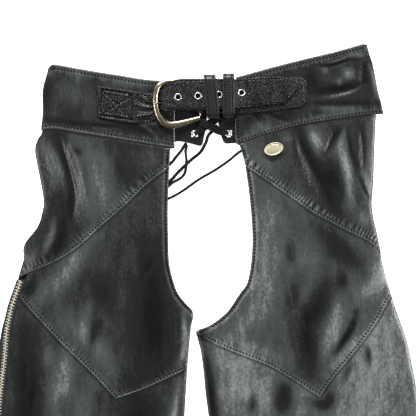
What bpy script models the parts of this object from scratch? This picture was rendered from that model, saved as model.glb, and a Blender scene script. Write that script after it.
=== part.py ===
"""Leather chaps, laid flat with the front up.

Lengths are in millimetres until a mesh is made. +X is the right of the garment as it lies, +Y is up to the
waist and +Z is up from the table. The plan tables are taken from the middle of the belt's height on the
centre line, and the whole garment is then moved so that its origin is in the middle of its underside.
"""

import math

import bmesh
import bpy
import numpy as np
from mathutils import Matrix, Vector

MM = 0.001
GAP = 0.3

# Driving sizes
HEM_Y = -890.0
LEATHER = 1.6
BACK_LEATHER = 1.5
YOKE_LEATHER = 2.4
BACK_YOKE_LEATHER = 2.0
STRAP_LEATHER = 2.5
UNDER_STRAP_LEATHER = 2.2
KEEPER_LEATHER = 1.3
SEAM = 0.24
COLUMNS = 14
FRONT_BASE = BACK_LEATHER + GAP
YOKE_BASE = BACK_YOKE_LEATHER + GAP
ZIP_HALF = 5.3
CHAIN_HALF = 4.3
ROLL_HEIGHT = 2.2
ROLL_WIDTH = 14.0
FOLD_FADE = 16.0
RISE_OVER_ZIP = 0.8
YOKE_ROLL = 0.7

# Colours, roughness and metallic value of each finish
FINISHES = {
    "leather": ((0.028, 0.031, 0.032, 1.0), 0.48, 0.0),
    "belt_leather": ((0.02, 0.02, 0.021, 1.0), 0.6, 0.0),
    "antique_metal": ((0.55, 0.5, 0.42, 1.0), 0.35, 1.0),
    "nickel": ((0.68, 0.68, 0.67, 1.0), 0.25, 1.0),
    "zip_metal": ((0.72, 0.68, 0.56, 1.0), 0.35, 1.0),
    "lace": ((0.015, 0.015, 0.016, 1.0), 0.7, 0.0),
    "badge_metal": ((0.72, 0.66, 0.54, 1.0), 0.35, 1.0),
}

# Edges of the two legs: height y, then x there
LEFT_INNER = [
    (74, -45), (43, -46.7), (0, -48.2), (-32, -47.8), (-64, -46.7), (-84, -42.7), (-102, -36.4), (-113, -28.3),
    (-125, -18), (-143, -20.4), (-167, -22.8), (-199, -25.2), (-250, -28.3), (-360, -35), (-480, -42),
    (-650, -50), (-800, -48), (-890, -46),
]
LEFT_OUTER = [
    (112, -198), (91, -199.3), (82, -204.8), (70, -207.8), (57, -206), (32, -201.1), (8, -197.4), (-7, -198.7),
    (-23, -204.8), (-40, -218.3), (-49, -221.9), (-60, -221.3), (-72, -224.4), (-90, -230.4), (-122, -241.7),
    (-151, -249.6), (-200, -256), (-250, -260), (-360, -263), (-480, -261), (-650, -254), (-800, -258),
    (-890, -261),
]
RIGHT_INNER = [
    (80, 36.5), (56, 43.6), (38, 46.6), (14, 49.7), (-11, 52.1), (-36, 53.3), (-54, 52.7), (-74, 50.6),
    (-92, 46.2), (-103, 38.2), (-124, 23.9), (-135, 11.2), (-142, 0), (-148, -14), (-159, -10.8), (-191, -6),
    (-223, -2.9), (-250, 0.6), (-360, 9), (-480, 18), (-650, 30), (-800, 30), (-890, 29),
]
RIGHT_OUTER = [
    (116, 203), (108, 201.5), (69, 199.7), (32, 198.5), (7, 196.6), (-9, 197.9), (-29, 202.7), (-54, 207.6),
    (-70, 210), (-102, 219.6), (-127, 227.6), (-159, 238.8), (-188, 245), (-212, 249.6), (-250, 255),
    (-360, 252), (-480, 238), (-650, 235), (-800, 241), (-890, 244),
]

# Seams and yoke edges: x, then y there
LEFT_YOKE_TOP = [
    (-192, 167.5), (-188, 172), (-183, 172.6), (-157, 167.9), (-126, 162.6), (-106, 159.6), (-74, 154.4),
    (-40, 152.4),
]
LEFT_YOKE_BOTTOM = [
    (-200.4, 92.8), (-187, 94.1), (-172, 92.2), (-134, 86), (-98, 80.2), (-73, 76.1), (-44, 71.4), (-40, 72),
]
RIGHT_YOKE_TOP = [
    (32, 156.8), (79, 169.8), (112, 178.2), (146, 186.2), (166, 191.6), (178, 195.1), (184, 196.8), (191, 196.8),
]
RIGHT_YOKE_BOTTOM = [
    (32, 77), (37, 77.2), (63, 85.8), (88, 93.1), (112, 99.2), (137, 103.6), (161, 107.2), (186, 110.9),
    (211, 113.4),
]
LEFT_SEAM_1 = [
    (-225, -82), (-207, -74.4), (-189, -67.1), (-170.5, -57.2), (-152, -43.8), (-128, -21.7), (-103, -0.5),
    (-74, 27.2), (-47.5, 47.5), (-44, 50),
]
LEFT_SEAM_2 = [
    (-232, -101), (-218, -117.6), (-202, -135.2), (-178, -160.8), (-154, -184.6), (-133, -205.2),
    (-111.1, -229.2), (-90.5, -222.8), (-67, -213.2), (-43, -202.1), (-30, -195.6), (-20, -187),
]
RIGHT_SEAM_1 = [
    (40, 52), (57, 41.6), (75, 29.4), (100, 12.2), (124, -4.8), (149, -18.4), (173, -30.6), (192, -40.3),
    (201.5, -47.8), (210, -57),
]
RIGHT_SEAM_2 = [
    (-16, -149), (0, -159.1), (24, -170.4), (48, -179.9), (72, -189.4), (92, -200.4), (115, -214.8),
    (134.4, -227.6), (151, -203.8), (175, -175.1), (199, -143.3), (212, -121), (224, -98),
]

# Free upper edge of each back leg panel: from the crotch corner out to the hip
LEFT_BACK_EDGE = [(-18.5, -126), (-51.6, -84), (-87.6, -24), (-117.6, 32), (-135.6, 66), (-146, 85)]
RIGHT_BACK_EDGE = [(-13, -149), (28, -112), (66, -52), (96, 8), (122, 62), (140, 101)]

# Where the zip's chain lies, as a distance round the outer fold: minus is on the front, plus is beneath
LEFT_CHAIN = [(-86, -4.6), (-116, -5.0), (-146, -7.2), (-179, -9.6), (-206, -9.2), (-300, -8.0), (-890, -8.0)]
RIGHT_CHAIN = [(-86, 6.4), (-290, 6.4), (-420, -7.6), (-890, -7.6)]
ZIP_TOP = {"left": -84.0, "right": -92.0}
ZIP_END = -866.0
BENEATH_Z = 1.4
FOLD_SLACK = 1.0
TAPE_HALF_THICK = 0.5
CHAIN_RISE = 0.7

# Main folds of the front: route (x, y), half width and height, minus for a valley
LEFT_FOLDS = [
    ([(-195, 82), (-184, 42), (-186, 10)], 9, 1.6),
    ([(-184, 82), (-172, 50), (-164, 20), (-166, -5), (-160, -29)], 8, -1.5),
    ([(-167, 77), (-157, 50), (-151, 29), (-146, 7), (-148, -17)], 8, 2.0),
    ([(-120, 62), (-96, 26), (-112, -4)], 24, 1.6),
    ([(-185, -29), (-199, -58), (-214, -100)], 12, 1.8),
    ([(-70, -20), (-64, -80), (-72, -170)], 20, 1.7),
    ([(-128, -60), (-140, -120), (-150, -170)], 18, -1.2),
    ([(-190, -110), (-178, -180), (-168, -260), (-174, -350)], 16, 1.8),
    ([(-100, -250), (-92, -350), (-100, -430)], 22, 1.5),
    ([(-225, -420), (-170, -462), (-120, -470)], 14, 1.4),
    ([(-70, -440), (-120, -505), (-190, -530)], 14, -1.2),
    ([(-215, -560), (-196, -660), (-204, -780)], 18, 1.7),
    ([(-105, -560), (-118, -680), (-108, -800)], 20, 1.5),
]
RIGHT_FOLDS = [
    ([(109, 94), (115, 68), (131, 38), (146, 7)], 9, -1.6),
    ([(162, 94), (150, 80), (142, 66)], 8, -1.3),
    ([(163, 93), (158, 62), (167, 32), (170, 13)], 8, 1.9),
    ([(178, 90), (180, 50), (190, 24), (198, 0)], 6, 1.3),
    ([(84, 40), (100, 50), (112, 20)], 16, 1.2),
    ([(80, -30), (76, -90), (88, -160)], 18, 1.8),
    ([(118, -20), (134, -90), (120, -160), (130, -225)], 18, -1.5),
    ([(176, -60), (170, -130), (186, -200)], 16, 1.8),
    ([(40, -200), (52, -290), (60, -400)], 20, 1.7),
    ([(150, -250), (166, -340), (160, -430)], 18, 1.6),
    ([(216, -400), (160, -455), (110, -470)], 14, 1.3),
    ([(50, -450), (110, -500), (180, -520)], 14, -1.2),
    ([(80, -560), (94, -680), (84, -800)], 20, 1.6),
    ([(188, -560), (176, -670), (190, -790)], 18, 1.5),
]

# The belt strap's stations: x, upper edge, lower edge, underside height
BELT_STATIONS = [
    (-132.0, 146.5, 108.7, 5.0), (-114, 144.0, 104.3, 5.0), (-90, 140.5, 100.9, 5.0), (-74.4, 137.2, 102.7, 5.0),
    (-66.5, 137.5, 104.6, 5.1), (-62.4, 137.7, 107.8, 5.6), (-60, 138.2, 114.0, 6.4), (-57.6, 139.6, 118.4, 8.0),
    (-55.2, 142.2, 117.6, 10.0), (-51.6, 146.0, 115.8, 11.6), (-46, 149.8, 115.2, 12.3), (-36, 154.2, 116.4, 12.3),
    (-20, 154.6, 116.5, 12.3), (-3.6, 154.8, 116.6, 12.3), (7, 154.8, 117.4, 11.9), (17, 154.7, 118.2, 11.0),
    (28, 154.5, 119.0, 10.4), (36, 154.5, 119.4, 8.9), (45, 155.2, 120.4, 7.9), (60, 156.5, 121.8, 7.6),
    (75, 157.0, 123.2, 7.6), (89, 157.3, 124.6, 7.6), (100, 151.6, 135.0, 7.6), (108, 147.4, 145.2, 7.6),
]

# The buckle strap, round the bar and back over itself: x and mid height, from the free end to the tucked end
BAR_X = -9.2
BAR_Z = 7.9
BAR_RADIUS = 1.6
LOOP_RADIUS = BAR_RADIUS + GAP + UNDER_STRAP_LEATHER / 2
UNDER_STRAP_LOWER = [
    (118, 6.1), (108, 6.1), (84, 6.1), (58, 6.1), (38, 6.1), (29, 5.9), (17, 5.6), (6, 5.4), (-2, 5.1), (-6, 4.95),
]
UNDER_STRAP_UPPER = [(-5, 10.8), (0, 10.4), (8, 9.6), (17, 8.9), (27, 8.6)]

# The buckle's centre line: x, y, half width, centre height, half height
BUCKLE_STATIONS = [
    (-10.0, 152.4, 1.8, 7.9, 1.8), (-24, 152.3, 1.9, 8.3, 1.8), (-36, 152.2, 2.0, 9.0, 1.8),
    (-44.5, 152.0, 2.3, 9.6, 1.8), (-52.4, 150.6, 2.7, 10.5, 1.9), (-57.8, 147.3, 2.9, 11.2, 2.0),
    (-60.6, 143.2, 3.0, 11.5, 2.1), (-62.4, 137.0, 3.0, 11.5, 2.1), (-63.0, 130.0, 3.0, 11.5, 2.1),
    (-62.4, 122.0, 3.1, 11.5, 2.1), (-60.6, 114.0, 3.2, 11.7, 2.1), (-57.0, 107.0, 3.8, 11.6, 2.1),
    (-52.2, 101.6, 4.2, 11.1, 2.1), (-45.6, 99.4, 4.4, 10.6, 2.1), (-38.0, 99.9, 4.2, 10.0, 2.0),
    (-29.0, 102.2, 3.6, 9.2, 1.9), (-19.0, 105.1, 2.9, 8.4, 1.8), (-9.4, 108.0, 2.4, 7.9, 1.8),
]
PRONG_STATIONS = [
    (-12.0, 128.9, 11.4), (-20, 128.3, 11.0), (-30, 127.6, 10.2), (-40, 126.8, 9.5), (-48, 126.3, 9.0),
    (-52, 126.0, 8.9), (-54.5, 125.8, 9.3), (-57, 125.6, 11.2), (-59, 125.5, 13.0), (-61, 125.4, 14.7),
    (-62.8, 125.3, 15.1),
]
PRONG_RADIUS = 1.1

# Eyelets: x, y, surface height, slope of the strap there
STRAP_HOLE = 2.9
STRAP_EYELETS = [
    (-35.9, 132.6, 14.8, 0.0), (-12.0, 133.9, 14.8, 0.0), (13.2, 135.6, 13.9, -0.09),
    (40.1, 138.0, 11.05, -0.11),
]
PRONG_HOLE = (-57.4, 125.7, 3.5)
EYELET_HOLE = 2.0
EYELET_FLANGE = 4.9
TAB_EYELETS = {"left": (-16.3, 88.8), "right": (25.0, 89.8)}

# Keepers: x at the top, x at the bottom, upper and lower end, lowest and highest outside height, width
KEEPERS = {
    "keeper_1": (3.4, 6.6, 160.0, 106.8, 2.4, 17.0, 14.4),
    "keeper_2": (24.6, 24.8, 161.4, 107.4, 2.4, 16.0, 13.4),
}

BADGE = {"x": 78.8, "y": 70.8, "half_length": 11.8, "half_width": 7.6, "tilt_deg": 16.0, "thick": 1.2}

# Laces: diameter and route (x, y, centre height)
LACES = {
    "lace_a": (2.4, [
        (58, 79, 2.5), (48, 73, 2.3), (37, 67, 1.7), (25, 57, 1.3), (9, 46, 1.3), (-10, 35, 1.3), (-27, 23, 1.3),
        (-37, 16.6, 1.3), (-46, 12, 1.3), (-58, 7, 1.3), (-68, 1, 1.3)]),
    "lace_b": (3.4, [
        (-0.4, 86.0, 1.9), (-1.6, 81.0, 1.8), (-3.2, 77.2, 1.8), (-9.1, 67.2, 1.8), (-19.2, 58.8, 1.8),
        (-27.6, 51.1, 1.8), (-36, 43.0, 1.8), (-46, 32.0, 1.8), (-57, 24.0, 1.8), (-68, 19.0, 1.8)]),
    "lace_c": (3.2, [
        (-27.4, 76.6, 1.8), (-29.6, 73.2, 1.7), (-33, 68, 1.7), (-38, 62, 1.7), (-44, 54.5, 1.7), (-54, 47, 1.7),
        (-66, 43, 1.7)]),
    "lace_d": (2.8, [
        (-27.4, 68.0, 1.6), (-26.6, 64.0, 2.4), (-26.0, 59.5, 4.9), (-26.0, 53.0, 5.7), (-26.6, 47.0, 4.6),
        (-28.0, 41.8, 2.6), (-31.6, 37.0, 1.7), (-37.0, 33.4, 1.6), (-42.0, 30.8, 1.6), (-47.0, 26.6, 1.6),
        (-57.0, 18.4, 1.6), (-66.0, 13.0, 1.6)]),
    "lace_cross_1": (3.0, [
        (-16.3, 88.8, 5.1), (-10, 92.0, 5.0), (-3, 97.0, 4.4), (4, 101.5, 4.2), (11, 105.5, 4.2), (16, 108.5, 4.2)]),
    "lace_cross_2": (3.0, [
        (25.0, 89.8, 5.1), (18, 92.0, 5.2), (11, 95.0, 6.6), (4, 98.5, 7.7), (-3, 102.0, 6.4), (-9, 106.0, 4.4),
        (-13, 109.5, 4.2)]),
}

# Zip slider and pull tab
SLIDER_LENGTH = 13.0
SLIDER_HALF_WIDTH = 4.9
SLIDER_HEIGHT = 4.0
PULL_LENGTH = 26.0
PULL_HALF_WIDTH = 3.6
PULL_THICK = 1.2
PULL_ARM = 5.6
PIVOT_RADIUS = 0.7
BRIDGE_HALF_WIDTH = 1.1


def clear_scene():
    for thing in list(bpy.data.objects):
        bpy.data.objects.remove(thing, do_unlink=True)


def finish(name):
    """The named material, made once from its colour, roughness and metallic value."""
    found = bpy.data.materials.get(name)
    if found:
        return found
    colour, rough, metal = FINISHES[name]
    made = bpy.data.materials.new(name)
    made.use_nodes = True
    shader = made.node_tree.nodes["Principled BSDF"]
    shader.inputs["Base Color"].default_value = colour
    shader.inputs["Roughness"].default_value = rough
    shader.inputs["Metallic"].default_value = metal
    made.diffuse_color = colour
    return made


def smooth_read(table, at):
    """A smooth curve through the table's (place, value) rows, read at one place."""
    rows = sorted(table)
    places = [row[0] for row in rows]
    values = [row[1] for row in rows]
    at = min(max(at, places[0]), places[-1])
    i = min(max(int(np.searchsorted(places, at)) - 1, 0), len(rows) - 2)
    step = places[i + 1] - places[i]

    def slope(k):
        low, high = max(k - 1, 0), min(k + 1, len(rows) - 1)
        return (values[high] - values[low]) / (places[high] - places[low])

    t = (at - places[i]) / step
    a = 2 * t**3 - 3 * t**2 + 1
    b = t**3 - 2 * t**2 + t
    c = -2 * t**3 + 3 * t**2
    d = t**3 - t**2
    return a * values[i] + b * step * slope(i) + c * values[i + 1] + d * step * slope(i + 1)


def ease(value, low, high):
    """0 below low, 1 above high, and a soft rise between."""
    t = min(max((value - low) / (high - low), 0.0), 1.0)
    return t * t * (3 - 2 * t)


def way_to_route(x, y, route):
    """Distance from a point to a route's line, and how far along it the nearest place is, from 0 to 1."""
    best, along, done = 1e9, 0.0, 0.0
    lengths = [math.dist(a, b) for a, b in zip(route, route[1:])]
    total = sum(lengths)
    for (a, b), length in zip(zip(route, route[1:]), lengths):
        t = ((x - a[0]) * (b[0] - a[0]) + (y - a[1]) * (b[1] - a[1])) / length**2
        t = min(max(t, 0.0), 1.0)
        away = math.hypot(x - a[0] - t * (b[0] - a[0]), y - a[1] - t * (b[1] - a[1]))
        if away < best:
            best, along = away, (done + t * length) / total
        done += length
    return best, along


def folds_at(x, y, folds):
    """Height that the main folds add at a point."""
    height = 0.0
    for route, half_width, size in folds:
        away, along = way_to_route(x, y, route)
        if away < 3 * half_width:
            fade = 0.35 + 0.65 * math.sin(math.pi * along)
            height += size * fade * math.exp(-((away / half_width) ** 2))
    return height


SIDES = {
    "left": {
        "inner": LEFT_INNER, "outer": LEFT_OUTER, "folds": LEFT_FOLDS, "chain": LEFT_CHAIN, "out": -1,
        "crotch": -125.0, "yoke_top": LEFT_YOKE_TOP, "yoke_bottom": LEFT_YOKE_BOTTOM, "seam_1": LEFT_SEAM_1,
        "seam_2": LEFT_SEAM_2, "point": (-111.1, -229.2), "back_edge": LEFT_BACK_EDGE,
    },
    "right": {
        "inner": RIGHT_INNER, "outer": RIGHT_OUTER, "folds": RIGHT_FOLDS, "chain": RIGHT_CHAIN, "out": 1,
        "crotch": -148.0, "yoke_top": RIGHT_YOKE_TOP, "yoke_bottom": RIGHT_YOKE_BOTTOM, "seam_1": RIGHT_SEAM_1,
        "seam_2": RIGHT_SEAM_2, "point": (134.4, -227.6), "back_edge": RIGHT_BACK_EDGE,
    },
}


def inner_x(side, y):
    return smooth_read(SIDES[side]["inner"], y)


def outer_x(side, y):
    return smooth_read(SIDES[side]["outer"], y)


def chain_at(side, y):
    return smooth_read(SIDES[side]["chain"], y)


def front_low(side, x, y):
    """Underside height of the front of the leg: a flattened tube that is fuller away from its folds."""
    plan = SIDES[side]
    from_outer = max((outer_x(side, y) - x) * plan["out"], 0.0)
    from_inner = max((x - inner_x(side, y)) * plan["out"], 0.0)
    free = ease(y, plan["crotch"] - 10, plan["crotch"] + 60)
    outer_roll = ROLL_HEIGHT * (1 - (1 - min(from_outer / ROLL_WIDTH, 1.0)) ** 2) ** 0.5
    inner_roll = ROLL_HEIGHT * (1 - (1 - min(from_inner / ROLL_WIDTH, 1.0)) ** 2) ** 0.5
    lifted = ROLL_HEIGHT * ease(y, plan["crotch"] + 20, plan["crotch"] + 110)
    inner_part = (1 - free) * inner_roll + free * lifted
    roll = min(outer_roll, inner_part) if from_outer < from_inner else inner_part
    room = min(from_outer / FOLD_FADE, 1.0) * (1 if free > 0.5 else min(from_inner / FOLD_FADE, 1.0))
    height = roll + room * folds_at(x, y, plan["folds"])
    over_zip = RISE_OVER_ZIP if side == "right" else 0.0
    return FRONT_BASE + max(height, 0.0) + over_zip * (1 - ease(from_outer, 10, 60))


def front_edge(side, y):
    """How far the front leather stops short of the outer fold, to leave room for the zip."""
    slack = FOLD_SLACK if side == "right" else 0.2
    return max(0.0, ZIP_HALF + GAP + slack - chain_at(side, y))


def mesh_object(name, bm, material, shade=True):
    """An object from mesh data in millimetres."""
    bmesh.ops.scale(bm, vec=(MM, MM, MM), verts=bm.verts)
    mesh = bpy.data.meshes.new(name)
    bm.to_mesh(mesh)
    bm.free()
    if shade:
        mesh.shade_smooth()
        mesh.set_sharp_from_angle(angle=math.radians(40))
    thing = bpy.data.objects.new(name, mesh)
    bpy.context.scene.collection.objects.link(thing)
    thing.data.materials.append(finish(material))
    return thing


def grid_mesh(points, closed=False):
    """One layer of quads over rows of points; closed joins the last row to the first."""
    bm = bmesh.new()
    rows = [[bm.verts.new(p) for p in row] for row in points]
    pairs = list(zip(rows, rows[1:]))
    if closed:
        pairs.append((rows[-1], rows[0]))
    for lower, upper in pairs:
        for k in range(len(lower) - 1):
            bm.faces.new((lower[k], lower[k + 1], upper[k + 1], upper[k]))
    return bm


def raise_layer(bm, thickness):
    """Turns one layer into a wall by extruding it straight up."""
    bmesh.ops.recalc_face_normals(bm, faces=bm.faces)
    if sum(face.normal.z * face.calc_area() for face in bm.faces) > 0:
        bmesh.ops.reverse_faces(bm, faces=bm.faces)
    made = bmesh.ops.extrude_face_region(bm, geom=list(bm.faces), use_keep_orig=True)
    up = [item for item in made["geom"] if isinstance(item, bmesh.types.BMVert)]
    bmesh.ops.translate(bm, verts=up, vec=(0, 0, thickness))
    bmesh.ops.recalc_face_normals(bm, faces=bm.faces)


def add_wall(thing, thickness, offset=0.0):
    """Turns one layer into a wall on both sides of it."""
    wall = thing.modifiers.new("wall", "SOLIDIFY")
    wall.thickness = thickness * MM
    wall.offset = offset
    wall.use_even_offset = True


def panel_points(side, upper, lower, across, down, beside_zip=True, crowd=1.0):
    """Grid points of a front panel between an upper and a lower seam, from the inner to the outer edge.

    A crowd above 1 puts the rows closer together near the upper seam.
    """
    out = SIDES[side]["out"]
    points = []
    for t in np.linspace(0, 1, down + 1) ** crowd:
        row = []
        for s in across:
            x, y = 0.0, (1 - t) * upper(0.0) + t * lower(0.0)
            for _ in range(30):
                inside = inner_x(side, y)
                outside = outer_x(side, y) - out * (front_edge(side, y) if beside_zip else 0.0)
                x = inside + s * (outside - inside)
                y = (1 - t) * upper(x) + t * lower(x)
            row.append((x, y, front_low(side, x, y)))
        points.append(row)
    return points


def spaced(count, stop=0.5):
    """Shares across a panel, closer together at both edges, with one exactly at the stop."""
    first = max(2, round(count * stop))
    last = max(2, count - first)
    rise = [stop * (k / first) ** 1.25 for k in range(first)]
    fall = [1 - (1 - stop) * (k / last) ** 1.25 for k in range(last + 1)][::-1]
    return rise + fall


def hip_panel(side):
    plan = SIDES[side]
    points = panel_points(
        side,
        lambda x: smooth_read(plan["yoke_bottom"], x) - 2 * SEAM,
        lambda x: smooth_read(plan["seam_1"], x) + SEAM,
        spaced(COLUMNS, point_share(side)),
        12,
        beside_zip=False,
    )
    bm = grid_mesh(points)
    raise_layer(bm, LEATHER)
    return mesh_object(f"{side}_hip_panel", bm, "leather")


def point_share(side):
    """Share across the leg at which the pointed seam has its point."""
    x, y = SIDES[side]["point"]
    outside = outer_x(side, y) - SIDES[side]["out"] * front_edge(side, y)
    return (x - inner_x(side, y)) / (outside - inner_x(side, y))


def thigh_panel(side):
    plan = SIDES[side]
    points = panel_points(
        side,
        lambda x: smooth_read(plan["seam_1"], x) - SEAM,
        lambda x: smooth_read(plan["seam_2"], x) + SEAM,
        spaced(COLUMNS, point_share(side)),
        13,
    )
    bm = grid_mesh(points)
    raise_layer(bm, LEATHER)
    return mesh_object(f"{side}_thigh_panel", bm, "leather")


def lower_panel(side):
    plan = SIDES[side]
    points = panel_points(
        side,
        lambda x: smooth_read(plan["seam_2"], x) - SEAM,
        lambda x: HEM_Y,
        spaced(COLUMNS, point_share(side)),
        21,
        crowd=1.35,
    )
    bm = grid_mesh(points)
    raise_layer(bm, LEATHER)
    return mesh_object(f"{side}_lower_panel", bm, "leather")


def back_inset(side, y):
    """How far the back leather stops short of the outer fold."""
    if side == "left" or y > ZIP_TOP[side]:
        return 0.4
    return max(chain_at(side, y) + ZIP_HALF + GAP + FOLD_SLACK + 0.4, 2.9)


def hip_line(side):
    """Places along the hip at which the back yoke and the back of the leg meet."""
    return np.linspace(SIDES[side]["back_edge"][-1][0], outer_x(side, 95), 6)


def back_panel(side):
    """The hidden back of the leg, flat on the table, with its free edge from the crotch out to the hip."""
    plan = SIDES[side]
    out = plan["out"]
    heights = [-150, -175, -200, -250, -330, -420, -520, -640, -760, HEM_Y]
    inside = [(inner_x(side, y) + out * 0.4, y) for y in heights if y < plan["crotch"]]
    outer_top = smooth_read(plan["yoke_bottom"], outer_x(side, 95)) - 2 * SEAM
    levels = [outer_top, 70, 50, 25, 5, -20, -40, -60, ZIP_TOP[side] + 1, ZIP_TOP[side] - 1]
    levels += [-120, -150, -200, -250, -290, -330, -375, -420, -520, -640, -760, HEM_Y]
    outside = [(outer_x(side, y) - out * back_inset(side, y), y) for y in levels]
    edge = plan["yoke_bottom"]
    top = [(x, smooth_read(edge, x) - 2 * SEAM) for x in hip_line(side)[:-1]]
    outline = list(plan["back_edge"][:-1]) + top + outside + inside[::-1]
    bm = bmesh.new()
    bm.faces.new([bm.verts.new((x, y, 0.0)) for x, y in outline])
    raise_layer(bm, BACK_LEATHER)
    bmesh.ops.triangulate(bm, faces=[face for face in bm.faces if len(face.verts) > 4])
    return mesh_object(f"{side}_back_panel", bm, "leather", shade=False)


def yoke_rows(side, inner_end, down, across):
    """Grid of a front yoke half: from its inner end to its side fold."""
    plan = SIDES[side]
    fold = YOKE_FOLD[side]
    rows = []
    for t in np.linspace(0, 1, down + 1):
        row = []
        for s in across:
            x, y = inner_end[1], 120.0
            for _ in range(25):
                inside = smooth_read(inner_end[0], y)
                x = inside + s * (smooth_read(fold, y) - inside)
                top, bottom = smooth_read(plan["yoke_top"], x), smooth_read(plan["yoke_bottom"], x)
                y = (1 - t) * top + t * bottom
            row.append((x, y))
        rows.append(row)
    return rows


# Side folds and inner ends of the yoke: y, then x there
YOKE_FOLD = {
    "left": [
        (93, -200.4), (102, -199.9), (110, -198.2), (125, -198.6), (138, -198.9), (148, -197.3), (159, -194.3),
        (168, -191.8)],
    "right": [(113, 211), (128, 207.6), (140, 204.2), (155, 201.5), (174, 197.6), (184, 194.3), (197, 190.6)],
}
YOKE_END = {
    "left": ([(70, -40), (155, -40)], -40.0),
    "right": ([(76, 34.0), (94, 32.6), (157, 33.8)], 33.0),
}


def yoke_low(side, x, y):
    """Underside height of the front yoke: flat under the belt, with soft rolls below it."""
    fold = smooth_read(YOKE_FOLD[side], y)
    from_fold = abs(fold - x)
    below = 1 - ease(y, 92, 110) if side == "left" else 1 - ease(y, 100, 122)
    wave = 0.5 + 0.5 * math.sin(x / 21.0 + (0.6 if side == "left" else 2.1))
    return YOKE_BASE + YOKE_ROLL * below * wave * min(from_fold / 20.0, 1.0)


def front_yoke(side):
    rows = yoke_rows(side, YOKE_END[side], 7, spaced(16))
    points = [[(x, y, yoke_low(side, x, y)) for x, y in row] for row in rows]
    bm = grid_mesh(points)
    raise_layer(bm, YOKE_LEATHER)
    return mesh_object(f"{side}_front_yoke", bm, "leather")


# Back yoke outlines: from the side fold along the bottom to the centre-back tab, then back along the top
BACK_YOKE = {
    "left": {
        "bottom": [(-36, 80.2), (-27.6, 79.2), (-18, 76.6)],
        "corner": [(-10.5, 74.6), (-8.0, 75.0), (-6.6, 77.0)],
        "end": [(-4.6, 86.0), (-2.6, 94.8), (-1.2, 110), (-1.0, 138)],
        "top": [(-6, 143), (-40, 149), (-100, 157)],
    },
    "right": {
        "bottom": [(60, 84.6), (36, 78.2)],
        "corner": [(23.5, 77.2), (20.4, 77.8), (18.4, 80.0)],
        "end": [(15.2, 88.1), (11.9, 105.0), (11.2, 138)],
        "top": [(16, 143), (50, 152), (110, 172)],
    },
}


def back_yoke(side):
    """The back half of the waistband, flat on the table, with its rounded tab at the centre back."""
    shape = BACK_YOKE[side]
    fold = YOKE_FOLD[side]
    bottom_edge, top_edge = SIDES[side]["yoke_bottom"], SIDES[side]["yoke_top"]
    far = -1 if side == "left" else 1
    hip_end = SIDES[side]["back_edge"][-1][0]
    low_x = list(hip_line(side)[::-1]) + list(np.linspace(hip_end, far * 62.0, 5)[1:])
    bottom = [(fold[0][1], fold[0][0])] + [(x, smooth_read(bottom_edge, x)) for x in low_x]
    high_x = np.linspace(-130.0 if side == "left" else 140.0, fold[-1][1], 4)
    top = [(x, smooth_read(top_edge, x) - 0.6) for x in high_x]
    side_heights = (150, 125) if side == "left" else (175, 150, 130)
    side_line = [(smooth_read(fold, y) - far * 0.4, y) for y in side_heights]
    outline = bottom + shape["bottom"] + shape["corner"] + shape["end"] + shape["top"] + top + side_line
    bm = bmesh.new()
    bm.faces.new([bm.verts.new((x, y, 0.0)) for x, y in outline])
    raise_layer(bm, BACK_YOKE_LEATHER)
    bmesh.ops.triangulate(bm, faces=[face for face in bm.faces if len(face.verts) > 4])
    yoke = mesh_object(f"{side}_back_yoke", bm, "leather", shade=False)
    x, y = TAB_EYELETS[side]
    cut_round_hole(yoke, x, y, 0.0, 10.0, EYELET_HOLE + 0.6 + GAP)
    return yoke


def cutter_object(name, bm):
    """A hidden cutter."""
    thing = mesh_object(name, bm, "leather", shade=False)
    thing.hide_render = True
    thing.display_type = "WIRE"
    return thing


def cut_with(thing, cutter):
    cut = thing.modifiers.new("cut", "BOOLEAN")
    cut.operation = "DIFFERENCE"
    cut.solver = "EXACT"
    cut.object = cutter


def cut_round_hole(thing, x, y, low, high, radius):
    bm = bmesh.new()
    bmesh.ops.create_cone(
        bm, cap_ends=True, segments=14, radius1=radius, radius2=radius, depth=high - low + 4
    )
    bmesh.ops.translate(bm, verts=bm.verts, vec=(x, y, (low + high) / 2))
    cut_with(thing, cutter_object(f"cutter_{thing.name}_{len(thing.modifiers)}", bm))


def cut_box(thing, low, high):
    bm = bmesh.new()
    bmesh.ops.create_cube(bm, size=1.0)
    size = [h - l for l, h in zip(low, high)]
    middle = [(h + l) / 2 for l, h in zip(low, high)]
    bmesh.ops.scale(bm, vec=size, verts=bm.verts)
    bmesh.ops.translate(bm, verts=bm.verts, vec=middle)
    cut_with(thing, cutter_object(f"cutter_{thing.name}_{len(thing.modifiers)}", bm))


def strip_place(side, y, round_by):
    """Where a line of the zip runs, and which way it faces: over the front, round the fold, or beneath."""
    out = SIDES[side]["out"]
    edge = outer_x(side, y)
    if side == "left":
        x = edge + out * round_by
        return Vector((x, y, front_low(side, x, y) + TAPE_HALF_THICK)), Vector((0, 0, 1))
    top = front_low(side, edge - 1.0, y) + TAPE_HALF_THICK
    radius = (top - BENEATH_Z) / 2
    fold_x = edge - radius - 1.3
    turn = math.pi * radius / 2
    if round_by < -turn:
        x = fold_x + round_by + turn
        return Vector((x, y, front_low(side, x, y) + TAPE_HALF_THICK)), Vector((0, 0, 1))
    if round_by > turn:
        return Vector((fold_x - round_by + turn, y, BENEATH_Z)), Vector((0, 0, -1))
    angle = -math.pi / 2 * round_by / turn
    facing = Vector((math.cos(angle), 0, math.sin(angle)))
    return Vector((fold_x, y, (top + BENEATH_Z) / 2)) + facing * radius, facing


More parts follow.
